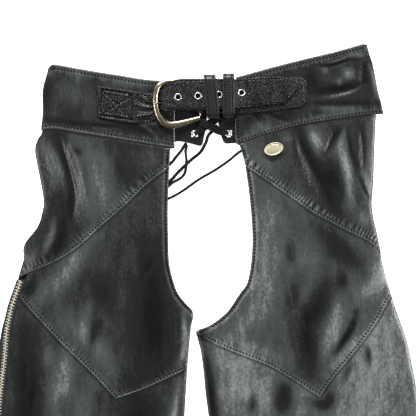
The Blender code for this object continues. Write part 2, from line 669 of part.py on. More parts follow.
def zip_tape(side):
    """The zip's tape with its chain, one strip that runs down the outer fold from the thigh to the ankle."""
    bm = bmesh.new()
    rings = []
    start = ZIP_TOP[side] - 2.0
    for share in np.linspace(0, 1, 40) ** 1.35:
        y = start + share * (ZIP_END - start)
        middle = chain_at(side, y)
        shares = [-ZIP_HALF, -CHAIN_HALF, -CHAIN_HALF + 0.6, CHAIN_HALF - 0.6, CHAIN_HALF, ZIP_HALF]
        if side == "left":
            shares[-1] = max(ZIP_HALF, -middle - 1.6)
        outer, inner = [], []
        for share, rise in zip(shares, [0.0, 0.0, CHAIN_RISE, CHAIN_RISE, 0.0, 0.0]):
            place, facing = strip_place(side, y, middle + share)
            outer.append(place + facing * (TAPE_HALF_THICK + rise))
            inner.append(place - facing * TAPE_HALF_THICK)
        rings.append([bm.verts.new(point) for point in outer + inner[::-1]])
    skin_rings(bm, rings)
    return mesh_object(f"{side}_zip", bm, "zip_metal")


def skin_rings(bm, rings):
    """Closed skin over a row of rings, with a flat cap at each end."""
    for a, b in zip(rings, rings[1:]):
        for k in range(len(a)):
            n = (k + 1) % len(a)
            bm.faces.new((a[k], a[n], b[n], b[k]))
    bm.faces.new(rings[0])
    bm.faces.new(rings[-1])
    bmesh.ops.recalc_face_normals(bm, faces=bm.faces)


def belt_strap():
    """The strap that starts at the box-stitched tab, passes the buckle and ends in a point."""
    points = []
    for x, top, bottom, low in BELT_STATIONS:
        points.append([(x, y, low) for y in np.linspace(top, bottom, 5)])
    bm = grid_mesh(points)
    raise_layer(bm, STRAP_LEATHER)
    strap = mesh_object("belt_strap", bm, "belt_leather")
    for x, y, top, _ in STRAP_EYELETS:
        cut_round_hole(strap, x, y, top - 4, top + 1, STRAP_HOLE)
    x, y, radius = PRONG_HOLE
    cut_round_hole(strap, x, y, 6, 16, radius)
    return strap


def under_ends(x):
    """Upper and lower edge of the buckle strap at a place along it."""
    narrow = ease(x, -4, 34)
    top = 149.4 + narrow * 3.4
    bottom = 113.8 - narrow * 0.5 + 7.6 * ease(x, 36, 118)
    top += 4.0 * ease(x, 36, 118)
    corner = max(0.0, x - 108) / 10.0
    return top - 5.0 * corner**2, bottom + 7.0 * corner**2


def buckle_strap():
    """The strap from the right yoke, looped round the buckle's bar and laid back over itself."""
    loop = []
    for k in range(1, 8):
        angle = -math.pi / 2 - math.pi * k / 8
        loop.append((BAR_X + LOOP_RADIUS * math.cos(angle), BAR_Z + LOOP_RADIUS * math.sin(angle)))
    under = [(BAR_X, BAR_Z - LOOP_RADIUS)]
    over = [(BAR_X, BAR_Z + LOOP_RADIUS)]
    route = UNDER_STRAP_LOWER + under + loop + over + UNDER_STRAP_UPPER
    points = []
    for x, z in route:
        top, bottom = under_ends(x)
        points.append([(x, y, z) for y in np.linspace(top, bottom, 4)])
    strap = mesh_object("buckle_strap", grid_mesh(points), "belt_leather")
    add_wall(strap, UNDER_STRAP_LEATHER)
    low = (BAR_X - 6.0, 125.6, 2.0)
    high = (BAR_X + 6.0, 132.0, 16.0)
    cut_box(strap, low, high)
    return strap


def keeper(name):
    """A loop of leather right round both straps, its ends standing proud of their edges."""
    x_top, x_bottom, top, bottom, low, high, width = KEEPERS[name]
    half = (high - low) / 2 - KEEPER_LEATHER / 2
    middle_z = (high + low) / 2
    upper, lower = top - half - KEEPER_LEATHER / 2, bottom + half + KEEPER_LEATHER / 2
    ring = []
    for centre, first in ((upper, 0.0), (lower, math.pi)):
        for k in range(9):
            angle = first + math.pi * k / 8
            ring.append((centre + half * math.sin(angle), middle_z + half * math.cos(angle)))
    points = []
    for y, z in ring:
        share = (y - bottom) / (top - bottom)
        x = x_bottom + share * (x_top - x_bottom)
        points.append([(x - width / 2, y, z), (x + width / 2, y, z)])
    made = mesh_object(name, grid_mesh(points, closed=True), "belt_leather")
    add_wall(made, KEEPER_LEATHER)
    return made


def oval_rings(stations, sides=10):
    """Oval sections, each square to the way the line runs: x, y, half width, height, half height."""
    rings = []
    for k, (x, y, half, z, half_high) in enumerate(stations):
        before, after = stations[max(k - 1, 0)], stations[min(k + 1, len(stations) - 1)]
        along = Vector((after[0] - before[0], after[1] - before[1], 0)).normalized()
        across = Vector((-along.y, along.x, 0))
        ring = []
        for n in range(sides):
            angle = 2 * math.pi * (n + 0.5) / sides
            rise = Vector((0, 0, half_high * math.sin(angle)))
            ring.append(Vector((x, y, z)) + across * half * math.cos(angle) + rise)
        rings.append(ring)
    return rings


def buckle_frame():
    bm = bmesh.new()
    skin_rings(bm, [[bm.verts.new(p) for p in ring] for ring in oval_rings(BUCKLE_STATIONS)])
    return mesh_object("buckle_frame", bm, "antique_metal")


def rod(name, start, end, radius, material, sides=12):
    """A round rod between two points."""
    start, end = Vector(start), Vector(end)
    bm = bmesh.new()
    bmesh.ops.create_cone(bm, cap_ends=True, segments=sides, radius1=radius, radius2=radius, depth=1.0)
    bmesh.ops.scale(bm, vec=(1, 1, (end - start).length), verts=bm.verts)
    turn = (end - start).to_track_quat("Z", "Y").to_matrix()
    bmesh.ops.rotate(bm, cent=(0, 0, 0), matrix=turn, verts=bm.verts)
    bmesh.ops.translate(bm, verts=bm.verts, vec=(start + end) / 2)
    return mesh_object(name, bm, material)


def tube_curve(name, points, radius, material, resolution=2):
    """A round tube along a line of points, with filled caps."""
    data = bpy.data.curves.new(name, "CURVE")
    data.dimensions = "3D"
    data.bevel_depth = radius * MM
    data.bevel_resolution = resolution
    data.use_fill_caps = True
    line = data.splines.new("POLY")
    line.points.add(len(points) - 1)
    for knot, place in zip(line.points, points):
        knot.co = (place[0] * MM, place[1] * MM, place[2] * MM, 1.0)
    thing = bpy.data.objects.new(name, data)
    bpy.context.scene.collection.objects.link(thing)
    data.materials.append(finish(material))
    return thing


def even_route(route, step):
    """Points at an even step along a smooth curve through the route's points."""
    route = [Vector(point) for point in route]
    fine = []
    for k in range(len(route) - 1):
        p0, p1 = route[max(k - 1, 0)], route[k]
        p2, p3 = route[k + 1], route[min(k + 2, len(route) - 1)]
        for n in range(12):
            t = n / 12
            fine.append(0.5 * (2 * p1 + (p2 - p0) * t + (2 * p0 - 5 * p1 + 4 * p2 - p3) * t**2
                               + (3 * p1 - p0 - 3 * p2 + p3) * t**3))
    fine.append(route[-1])
    lengths = [0.0]
    for a, b in zip(fine, fine[1:]):
        lengths.append(lengths[-1] + (b - a).length)
    count = max(2, round(lengths[-1] / step))
    targets = np.linspace(0, lengths[-1], count + 1)
    return [tuple(np.interp(t, lengths, [p[axis] for p in fine]) for axis in range(3)) for t in targets]


def buckle_prong():
    """The prong: hooked round the bar, along under the strap, up through its hole and onto the frame."""
    hook = BAR_RADIUS + GAP + PRONG_RADIUS
    y = PRONG_STATIONS[0][1]
    route = [(BAR_X + hook * math.cos(a), y, BAR_Z + hook * math.sin(a)) for a in np.linspace(-1.7, 1.45, 9)]
    route += PRONG_STATIONS[1:]
    return tube_curve("buckle_prong", even_route(route, 2.6), PRONG_RADIUS, "antique_metal")


def lace(name):
    diameter, route = LACES[name]
    return tube_curve(name, even_route(route, diameter * 2.2), diameter / 2, "lace")


def eyelet(name, x, y, surface, depth, slope=0.0):
    """A rolled ring with a flange on the leather and a barrel down through the hole."""
    profile = [
        (EYELET_HOLE, surface - depth), (EYELET_HOLE + 0.6, surface - depth), (EYELET_HOLE + 0.6, surface + GAP),
        (EYELET_FLANGE, surface + GAP), (EYELET_FLANGE - 0.5, surface + GAP + 0.7),
        (EYELET_HOLE, surface + GAP + 0.7),
    ]
    bm = bmesh.new()
    rings = []
    for k in range(14):
        angle = 2 * math.pi * k / 14
        a, b = math.cos(angle), math.sin(angle)
        rings.append([bm.verts.new((x + r * a, y + r * b, z + slope * r * a)) for r, z in profile])
    for a, b in zip(rings, rings[1:] + rings[:1]):
        for n in range(len(profile)):
            m = (n + 1) % len(profile)
            bm.faces.new((a[n], a[m], b[m], b[n]))
    bmesh.ops.recalc_face_normals(bm, faces=bm.faces)
    return mesh_object(name, bm, "nickel")


def badge():
    """A bare oval plate, riveted to the right hip panel just under the yoke."""
    tilt = math.radians(BADGE["tilt_deg"])
    rim = []
    for k in range(28):
        angle = 2 * math.pi * k / 28
        a, b = BADGE["half_length"] * math.cos(angle), BADGE["half_width"] * math.sin(angle)
        x = BADGE["x"] + a * math.cos(tilt) - b * math.sin(tilt)
        y = BADGE["y"] + a * math.sin(tilt) + b * math.cos(tilt)
        rim.append((x, y))
    surface = max(front_low("right", x, y) for x, y in rim + [(BADGE["x"], BADGE["y"])])
    low = surface + LEATHER + 2 * GAP
    bm = bmesh.new()
    face = bm.faces.new([bm.verts.new((x, y, low)) for x, y in rim])
    made = bmesh.ops.extrude_face_region(bm, geom=[face], use_keep_orig=True)
    up = [item for item in made["geom"] if isinstance(item, bmesh.types.BMVert)]
    bmesh.ops.translate(bm, verts=up, vec=(0, 0, BADGE["thick"]))
    bmesh.ops.recalc_face_normals(bm, faces=bm.faces)
    return mesh_object("badge", bm, "badge_metal")


def slider_place(side):
    """Middle of a slider, its height on the tape, and the height of its pull's pivot."""
    y = ZIP_END - GAP - SLIDER_LENGTH / 2
    place, _ = strip_place(side, y, chain_at(side, y))
    low = place.z - TAPE_HALF_THICK
    return place.x, y, low, low + SLIDER_HEIGHT + PULL_THICK / 2 + 0.5


def slider(side):
    """The zip's slider: a tapered body with a low bridge that holds the pull tab."""
    x, y, low, pivot = slider_place(side)
    bm = bmesh.new()
    half, long = SLIDER_HALF_WIDTH, SLIDER_LENGTH / 2
    outline = [(-half * 0.7, -long), (half * 0.7, -long), (half, -long * 0.2), (half, long), (half * 0.3, long),
               (0, long * 0.75), (-half * 0.3, long), (-half, long), (-half, -long * 0.2)]
    face = bm.faces.new([bm.verts.new((x + a, y + b, low)) for a, b in outline])
    made = bmesh.ops.extrude_face_region(bm, geom=[face], use_keep_orig=True)
    up = [item for item in made["geom"] if isinstance(item, bmesh.types.BMVert)]
    bmesh.ops.translate(bm, verts=up, vec=(0, 0, SLIDER_HEIGHT))
    bmesh.ops.recalc_face_normals(bm, faces=bm.faces)
    body = mesh_object(f"{side}_slider", bm, "antique_metal", shade=False)
    bridge_top = pivot + PIVOT_RADIUS + GAP + 0.9
    bm = bmesh.new()
    span = PULL_ARM - 1.6
    inside = PIVOT_RADIUS + GAP + 0.3
    profile = [(-span, low + SLIDER_HEIGHT - 1.0), (-span, bridge_top - 1.0), (-span + 1.2, bridge_top),
               (span - 1.2, bridge_top), (span, bridge_top - 1.0), (span, low + SLIDER_HEIGHT - 1.0),
               (inside, low + SLIDER_HEIGHT - 1.0), (inside, pivot + inside), (-inside, pivot + inside),
               (-inside, low + SLIDER_HEIGHT - 1.0)]
    face = bm.faces.new([bm.verts.new((x - BRIDGE_HALF_WIDTH, y + b, z)) for b, z in profile])
    made = bmesh.ops.extrude_face_region(bm, geom=[face], use_keep_orig=True)
    over = [item for item in made["geom"] if isinstance(item, bmesh.types.BMVert)]
    bmesh.ops.translate(bm, verts=over, vec=(2 * BRIDGE_HALF_WIDTH, 0, 0))
    bmesh.ops.recalc_face_normals(bm, faces=bm.faces)
    bridge = cutter_object(f"guide_{side}_bridge", bm)
    join = body.modifiers.new("bridge", "BOOLEAN")
    join.operation = "UNION"
    join.solver = "EXACT"
    join.object = bridge
    return body


def pull(side):
    """The pull tab: a plate with two arms and a cross bar that turns under the slider's bridge."""
    x, y, _, pivot = slider_place(side)
    half = PULL_HALF_WIDTH
    window = BRIDGE_HALF_WIDTH + GAP + 0.25
    bar = PIVOT_RADIUS
    outline = [(-half * 0.8, bar), (half * 0.8, bar), (half * 0.8, -PULL_ARM), (half, -PULL_ARM - 3),
               (half, -PULL_LENGTH + 4), (half * 0.6, -PULL_LENGTH + 0.8), (0, -PULL_LENGTH),
               (-half * 0.6, -PULL_LENGTH + 0.8), (-half, -PULL_LENGTH + 4), (-half, -PULL_ARM - 3),
               (-half * 0.8, -PULL_ARM)]
    bm = bmesh.new()
    face = bm.faces.new([bm.verts.new((x + a, y + b, pivot - PULL_THICK / 2)) for a, b in outline])
    made = bmesh.ops.extrude_face_region(bm, geom=[face], use_keep_orig=True)
    up = [item for item in made["geom"] if isinstance(item, bmesh.types.BMVert)]
    bmesh.ops.translate(bm, verts=up, vec=(0, 0, PULL_THICK))
    bmesh.ops.recalc_face_normals(bm, faces=bm.faces)
    tab = mesh_object(f"{side}_pull", bm, "antique_metal", shade=False)
    cut_box(tab, (x - window, y - PULL_ARM, pivot - 3), (x + window, y - bar, pivot + 3))
    axis = Vector((x, y, pivot)) * MM
    tab.data.transform(Matrix.Translation(-axis))
    tab.location = axis
    return tab


def centre_on_origin():
    """Hangs every object on one empty and moves it, so that the origin is in the middle of the underside."""
    bpy.context.view_layer.update()
    graph = bpy.context.evaluated_depsgraph_get()
    corners = []
    for thing in bpy.data.objects:
        if thing.hide_render or thing.name in LACES:
            continue
        seen = thing.evaluated_get(graph)
        corners += [seen.matrix_world @ vert.co for vert in seen.to_mesh().vertices]
    low = [min(corner[axis] for corner in corners) for axis in (0, 1)]
    high = [max(corner[axis] for corner in corners) for axis in (0, 1)]
    garment = bpy.data.objects.new("garment", None)
    bpy.context.scene.collection.objects.link(garment)
    for thing in bpy.data.objects:
        if thing is not garment:
            thing.parent = garment
    garment.location = (-(low[0] + high[0]) / 2, -(low[1] + high[1]) / 2, 0.0)
    bpy.context.view_layer.update()


def main():
    clear_scene()
    for side in ("left", "right"):
        back_yoke(side)
        back_panel(side)
        front_yoke(side)
        hip_panel(side)
        thigh_panel(side)
        lower_panel(side)
        zip_tape(side)
        slider(side)
        pull(side)
        x, y = TAB_EYELETS[side]
        eyelet(f"tab_eyelet_{side}", x, y, BACK_YOKE_LEATHER, BACK_YOKE_LEATHER)
    belt_strap()
    buckle_strap()
    for name in KEEPERS:
        keeper(name)
    buckle_frame()
    rod("buckle_bar", (BAR_X, 150.2 - GAP, BAR_Z), (BAR_X, 110.6, BAR_Z), BAR_RADIUS, "antique_metal")
    buckle_prong()
    for k, (x, y, top, slope) in enumerate(STRAP_EYELETS):
        eyelet(f"strap_eyelet_{k + 1}", x, y, top, STRAP_LEATHER, slope)
    badge()
    for name in LACES:
        lace(name)
    centre_on_origin()


main()
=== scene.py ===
# %% [markdown]
# Leather chaps lie flat, front up, on a pale surface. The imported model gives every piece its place, so this
# lesson starts by loading it and by keeping its box. All plan sizes below are in millimetres from the middle of
# the belt on the centre line, because that is how a pattern cutter would lay the pieces out.
# %% Load the frame
import math

import bpy
import numpy as np
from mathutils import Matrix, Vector


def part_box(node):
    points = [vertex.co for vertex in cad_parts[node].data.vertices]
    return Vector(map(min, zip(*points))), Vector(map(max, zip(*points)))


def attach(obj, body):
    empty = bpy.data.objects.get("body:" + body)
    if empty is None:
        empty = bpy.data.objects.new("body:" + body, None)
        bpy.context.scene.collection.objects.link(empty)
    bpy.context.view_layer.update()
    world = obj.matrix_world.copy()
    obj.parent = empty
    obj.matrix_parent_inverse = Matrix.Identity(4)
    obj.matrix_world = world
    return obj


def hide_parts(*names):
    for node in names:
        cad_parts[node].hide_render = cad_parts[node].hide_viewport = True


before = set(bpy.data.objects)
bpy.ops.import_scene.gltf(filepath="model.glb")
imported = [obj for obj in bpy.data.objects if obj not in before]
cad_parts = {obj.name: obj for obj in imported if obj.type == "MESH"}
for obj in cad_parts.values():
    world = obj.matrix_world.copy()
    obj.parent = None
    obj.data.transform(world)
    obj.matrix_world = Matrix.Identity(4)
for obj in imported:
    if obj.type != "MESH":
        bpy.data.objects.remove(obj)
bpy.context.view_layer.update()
MM = 0.001
BADGE = {"x": 78.8, "y": 70.8, "half_length": 11.8, "half_width": 7.6, "tilt_deg": 16.0}
badge_low, badge_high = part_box("badge")
PLAN_ORIGIN = ((badge_low + badge_high) / 2).xy - Vector((BADGE["x"], BADGE["y"])) * MM
print("plan origin in the frame", tuple(round(c, 4) for c in PLAN_ORIGIN))

# %% [markdown]
# The camera looks straight down, as the photographer did, and its picture is as wide as the belt's known width
# says it must be: 1.2 mm to each of the picture's 416 dots. A long lens keeps the legs free of distortion, and
# the Standard view keeps white paper white beside black leather.
# %% Camera
PICTURE_WIDTH = 416 * 1.2 * MM
LENS = 180.0
SENSOR = 36.0
PICTURE_PLANE = 0.006


def add_camera():
    away = PICTURE_WIDTH * LENS / SENSOR
    bpy.ops.object.camera_add(location=(PLAN_ORIGIN.x, PLAN_ORIGIN.y, PICTURE_PLANE + away), rotation=(0, 0, 0))
    camera = bpy.context.object
    camera.data.lens = LENS
    camera.data.sensor_width = SENSOR
    camera.data.clip_end = 20
    bpy.context.scene.camera = camera
    bpy.context.scene.view_settings.view_transform = "Standard"
    return away


print("camera stands off", round(add_camera(), 3), "m")

# %% [markdown]
# Every outline is a short table of measured points with a smooth curve through them. Reading the curve at many
# places at once keeps the later steps quick. The same two helpers also read the seams.
# %% Curves through tables


def dense(table, steps=14):
    """A smooth curve through (place, value) rows, as two long lists of places and values."""
    rows = np.array(sorted(table), float)
    place, value = rows[:, 0], rows[:, 1]
    slope = np.gradient(value, place)
    slope[1:-1] = (value[2:] - value[:-2]) / (place[2:] - place[:-2])
    found_place, found_value = [], []
    for k in range(len(rows) - 1):
        t = np.linspace(0, 1, steps, endpoint=False)
        step = place[k + 1] - place[k]
        found_place.append(place[k] + t * step)
        found_value.append(
            (2 * t**3 - 3 * t**2 + 1) * value[k] + (t**3 - 2 * t**2 + t) * step * slope[k]
            + (3 * t**2 - 2 * t**3) * value[k + 1] + (t**3 - t**2) * step * slope[k + 1]
        )
    return np.append(np.concatenate(found_place), place[-1]), np.append(np.concatenate(found_value), value[-1])


def read(curve, at):
    return np.interp(at, curve[0], curve[1])


def ease(value, low, high):
    t = np.clip((value - low) / (high - low), 0, 1)
    return t * t * (3 - 2 * t)


# %% [markdown]
# The plan of the garment: the inner and outer edge of each leg as height and distance, then the waistband and
# the two seams of each leg as distance and height. They are the values that the solids were made from.
# %% Plan of the garment
HEM_Y = -890.0
PLAN = {
    "left": {
        "out": -1.0, "crotch": -125.0, "zip_top": -84.0, "point": (-111.1, -229.2), "slack": 0.2,
        "inner": [
            (74, -45), (43, -46.7), (0, -48.2), (-32, -47.8), (-64, -46.7), (-84, -42.7), (-102, -36.4),
            (-113, -28.3), (-125, -18), (-143, -20.4), (-167, -22.8), (-199, -25.2), (-250, -28.3), (-360, -35),
            (-480, -42), (-650, -50), (-800, -48), (-890, -46)],
        "outer": [
            (112, -198), (91, -199.3), (82, -204.8), (70, -207.8), (57, -206), (32, -201.1), (8, -197.4),
            (-7, -198.7), (-23, -204.8), (-40, -218.3), (-49, -221.9), (-60, -221.3), (-72, -224.4), (-90, -230.4),
            (-122, -241.7), (-151, -249.6), (-200, -256), (-250, -260), (-360, -263), (-480, -261), (-650, -254),
            (-800, -258), (-890, -261)],
        "yoke_top": [
            (-192, 167.5), (-188, 172), (-183, 172.6), (-157, 167.9), (-126, 162.6), (-106, 159.6), (-74, 154.4),
            (-40, 152.4)],
        "yoke_bottom": [
            (-200.4, 92.8), (-187, 94.1), (-172, 92.2), (-134, 86), (-98, 80.2), (-73, 76.1), (-44, 71.4),
            (-40, 72)],
        "yoke_fold": [
            (93, -200.4), (102, -199.9), (110, -198.2), (125, -198.6), (138, -198.9), (148, -197.3),
            (159, -194.3), (168, -191.8)],
        "yoke_end": [(70, -40), (155, -40)],
        "seam_1": [
            (-225, -82), (-207, -74.4), (-189, -67.1), (-170.5, -57.2), (-152, -43.8), (-128, -21.7),
            (-103, -0.5), (-74, 27.2), (-47.5, 47.5), (-44, 50)],
        "seam_2": [
            (-232, -101), (-218, -117.6), (-202, -135.2), (-178, -160.8), (-154, -184.6), (-133, -205.2),
            (-111.1, -229.2), (-90.5, -222.8), (-67, -213.2), (-43, -202.1), (-30, -195.6), (-20, -187)],
        "chain": [(-86, -4.6), (-116, -5.0), (-146, -7.2), (-179, -9.6), (-206, -9.2), (-300, -8.0), (-890, -8.0)],
        "back_edge": [(-18.5, -126), (-51.6, -84), (-87.6, -24), (-117.6, 32), (-135.6, 66), (-146, 85)],
    },
    "right": {
        "out": 1.0, "crotch": -148.0, "zip_top": -92.0, "point": (134.4, -227.6), "slack": 1.0,
        "inner": [
            (80, 36.5), (56, 43.6), (38, 46.6), (14, 49.7), (-11, 52.1), (-36, 53.3), (-54, 52.7), (-74, 50.6),
            (-92, 46.2), (-103, 38.2), (-124, 23.9), (-135, 11.2), (-142, 0), (-148, -14), (-159, -10.8),
            (-191, -6), (-223, -2.9), (-250, 0.6), (-360, 9), (-480, 18), (-650, 30), (-800, 30), (-890, 29)],
        "outer": [
            (116, 203), (108, 201.5), (69, 199.7), (32, 198.5), (7, 196.6), (-9, 197.9), (-29, 202.7),
            (-54, 207.6), (-70, 210), (-102, 219.6), (-127, 227.6), (-159, 238.8), (-188, 245), (-212, 249.6),
            (-250, 255), (-360, 252), (-480, 238), (-650, 235), (-800, 241), (-890, 244)],
        "yoke_top": [
            (32, 156.8), (79, 169.8), (112, 178.2), (146, 186.2), (166, 191.6), (178, 195.1), (184, 196.8),
            (191, 196.8)],
        "yoke_bottom": [
            (32, 77), (37, 77.2), (63, 85.8), (88, 93.1), (112, 99.2), (137, 103.6), (161, 107.2), (186, 110.9),
            (211, 113.4)],
        "yoke_fold": [
            (113, 211), (128, 207.6), (140, 204.2), (155, 201.5), (174, 197.6), (184, 194.3), (197, 190.6)],
        "yoke_end": [(76, 34.0), (94, 32.6), (157, 33.8)],
        "seam_1": [
            (40, 52), (57, 41.6), (75, 29.4), (100, 12.2), (124, -4.8), (149, -18.4), (173, -30.6), (192, -40.3),
            (201.5, -47.8), (210, -57)],
        "seam_2": [
            (-16, -149), (0, -159.1), (24, -170.4), (48, -179.9), (72, -189.4), (92, -200.4), (115, -214.8),
            (134.4, -227.6), (151, -203.8), (175, -175.1), (199, -143.3), (212, -121), (224, -98)],
        "chain": [(-86, 6.4), (-290, 6.4), (-420, -7.6), (-890, -7.6)],
        "back_edge": [(-11, -149.5), (8, -142), (24, -129), (40, -108), (66, -52), (96, 8), (122, 62), (140, 101)],
    },
}
SIDES = ("left", "right")
CURVES = {
    side: {name: dense(rows) for name, rows in PLAN[side].items() if isinstance(rows, list)} for side in SIDES
}
for side in SIDES:
    for seam in ("seam_2",):
        x, y = PLAN[side]["point"]
        rows = PLAN[side][seam]
        first = dense([row for row in rows if row[0] <= x])
        last = dense([row for row in rows if row[0] >= x])
        CURVES[side][seam] = (np.append(first[0][:-1], last[0]), np.append(first[1][:-1], last[1]))
print("outlines", {side: sorted(CURVES[side]) for side in SIDES})

# %% [markdown]
# Leather that lies flat keeps the folds of the body that wore it. Each fold is a route across a panel with a
# half width and a height, minus for a valley. The largest come from the picture, and the fine creases that run
# beside them are shorter and sharper. A soft bell curve across the route gives each its form.
# %% Folds and creases
FOLDS = {
    "left": [
        ([(-195, 82), (-184, 42), (-186, 10)], 9, 1.6),
        ([(-184, 82), (-172, 50), (-164, 20), (-166, -5), (-160, -29)], 8, -1.5),
        ([(-167, 77), (-157, 50), (-151, 29), (-146, 7), (-148, -17)], 8, 2.0),
        ([(-120, 62), (-96, 26), (-112, -4)], 24, 1.6),
        ([(-185, -29), (-199, -58), (-214, -100)], 12, 1.8),
        ([(-70, -20), (-64, -80), (-72, -170)], 20, 1.7),
        ([(-128, -60), (-140, -120), (-150, -170)], 18, -1.2),
        ([(-190, -110), (-178, -180), (-168, -260), (-174, -350)], 16, 1.8),
        ([(-100, -250), (-92, -350), (-100, -430)], 22, 1.5),
        ([(-225, -420), (-170, -462), (-120, -470)], 14, 1.4),
        ([(-70, -440), (-120, -505), (-190, -530)], 14, -1.2),
        ([(-215, -560), (-196, -660), (-204, -780)], 18, 1.7),
        ([(-105, -560), (-118, -680), (-108, -800)], 20, 1.5),
    ],
    "right": [
        ([(109, 94), (115, 68), (131, 38), (146, 7)], 9, -1.6),
        ([(162, 94), (150, 80), (142, 66)], 8, -1.3),
        ([(163, 93), (158, 62), (167, 32), (170, 13)], 8, 1.9),
        ([(178, 90), (180, 50), (190, 24), (198, 0)], 6, 1.3),
        ([(84, 40), (100, 50), (112, 20)], 16, 1.2),
        ([(80, -30), (76, -90), (88, -160)], 18, 1.8),
        ([(118, -20), (134, -90), (120, -160), (130, -225)], 18, -1.5),
        ([(176, -60), (170, -130), (186, -200)], 16, 1.8),
        ([(40, -200), (52, -290), (60, -400)], 20, 1.7),
        ([(150, -250), (166, -340), (160, -430)], 18, 1.6),
        ([(216, -400), (160, -455), (110, -470)], 14, 1.3),
        ([(50, -450), (110, -500), (180, -520)], 14, -1.2),
        ([(80, -560), (94, -680), (84, -800)], 20, 1.6),
        ([(188, -560), (176, -670), (190, -790)], 18, 1.5),
    ],
}
CREASES = {
    "left": [
        ([(-178, 84), (-169, 56), (-161, 26), (-160, 4), (-164, -18)], 2.6, -0.7),
        ([(-151, 84), (-143, 60), (-138, 40)], 3.4, -0.45),
        ([(-136, 80), (-126, 62), (-122, 46)], 3.0, 0.4),
        ([(-108, 72), (-100, 58), (-97, 46)], 3.0, -0.35),
        ([(-202, 50), (-190, 44), (-181, 30)], 3.0, -0.5),
        ([(-197, 16), (-186, 8), (-176, -4)], 3.2, -0.55),
        ([(-206, -26), (-192, -30), (-176, -22)], 3.4, -0.5),
        ([(-212, -50), (-198, -48), (-184, -40)], 3.0, 0.45),
        ([(-92, -6), (-84, -16), (-70, -20)], 4.0, -0.3),
        ([(-58, -60), (-74, -76), (-84, -96)], 4.0, -0.35),
        ([(-216, -96), (-206, -106), (-190, -112)], 3.0, -0.5),
        ([(-58, -196), (-50, -180), (-48, -160)], 4.0, 0.35),
        ([(-36, -120), (-34, -150), (-30, -182)], 3.6, 0.6),
        ([(-44, -118), (-42, -150), (-38, -180)], 3.2, -0.45),
        ([(-150, -215), (-162, -240), (-160, -270)], 5.0, -0.5),
        ([(-215, -180), (-212, -210), (-216, -245)], 5.0, 0.5),
        ([(-60, -230), (-62, -260), (-56, -300)], 6.0, -0.4),
        ([(-240, -440), (-210, -452), (-180, -450)], 4.0, -0.6),
        ([(-210, -478), (-180, -486), (-150, -482)], 3.6, -0.5),
        ([(-100, -486), (-80, -478), (-62, -480)], 4.0, -0.5),
    ],
    "right": [
        ([(164, 96), (159, 66), (164, 42), (173, 18), (180, 4)], 2.2, -0.8),
        ([(184, 94), (187, 72), (188, 52)], 2.8, -0.8),
        ([(176, 44), (186, 22), (196, 2)], 2.6, -0.6),
        ([(146, 90), (140, 74), (134, 62)], 3.0, 0.5),
        ([(104, 88), (108, 66), (118, 44)], 3.0, 0.5),
        ([(124, 96), (126, 80), (134, 66)], 2.8, -0.45),
        ([(92, 84), (96, 66), (104, 54)], 3.0, -0.35),
        ([(60, 74), (70, 62), (84, 58)], 3.4, -0.3),
        ([(192, -2), (182, -14), (168, -20)], 3.4, -0.5),
        ([(206, -60), (192, -70), (178, -72)], 3.4, -0.5),
        ([(160, -118), (174, -134), (190, -132)], 3.6, 0.5),
        ([(156, -112), (168, -126), (182, -124)], 2.8, -0.5),
        ([(62, -30), (64, -66), (58, -96)], 4.0, -0.4),
        ([(100, -60), (94, -92), (102, -126)], 5.0, 0.45),
        ([(146, -40), (150, -80), (142, -112)], 5.0, -0.45),
        ([(10, -180), (22, -200), (24, -236)], 5.0, 0.5),
        ([(190, -190), (202, -214), (204, -244)], 5.0, -0.5),
        ([(224, -150), (230, -180), (236, -214)], 4.0, 0.5),
        ([(226, -440), (200, -448), (170, -444)], 4.0, -0.6),
        ([(60, -470), (84, -482), (112, -478)], 4.0, -0.5),
    ],
}


def smooth_route(route, steps=8):
    """A route with a soft bend at each of its points."""
    route = np.array(route, float)
    along = np.linspace(0, 1, len(route))
    fine = np.linspace(0, 1, (len(route) - 1) * steps + 1)
    return np.stack([read(dense(list(zip(along, route[:, k])), steps), fine) for k in range(route.shape[1])], axis=1)


def way_to(x, y, line):
    """How far points lie from a line, and how far along it the nearest place is, in millimetres."""
    best = np.full(x.shape, 1e9)
    along = np.zeros(x.shape)
    done = 0.0
    for a, b in zip(line[:-1], line[1:]):
        step = b - a
        length = math.hypot(step[0], step[1])
        t = np.clip(((x - a[0]) * step[0] + (y - a[1]) * step[1]) / length**2, 0, 1)
        away = np.hypot(x - a[0] - t * step[0], y - a[1] - t * step[1])
        near = away < best
        best = np.where(near, away, best)
        along = np.where(near, done + t * length, along)
        done += length
    return best, along, done


def fold_height(x, y, folds):
    height = np.zeros(x.shape)
    for route, half_width, size in folds:
        line = smooth_route(route)
        reach = 3 * half_width
        near = (
            (x > line[:, 0].min() - reach) & (x < line[:, 0].max() + reach)
            & (y > line[:, 1].min() - reach) & (y < line[:, 1].max() + reach)
        )
        if near.any():
            away, along, total = way_to(x[near], y[near], line)
            fade = 0.35 + 0.65 * np.sin(math.pi * along / total)
            height[near] += size * fade * np.exp(-((away / half_width) ** 2))
    return height


print("folds", {side: len(FOLDS[side]) + len(CREASES[side]) for side in SIDES})

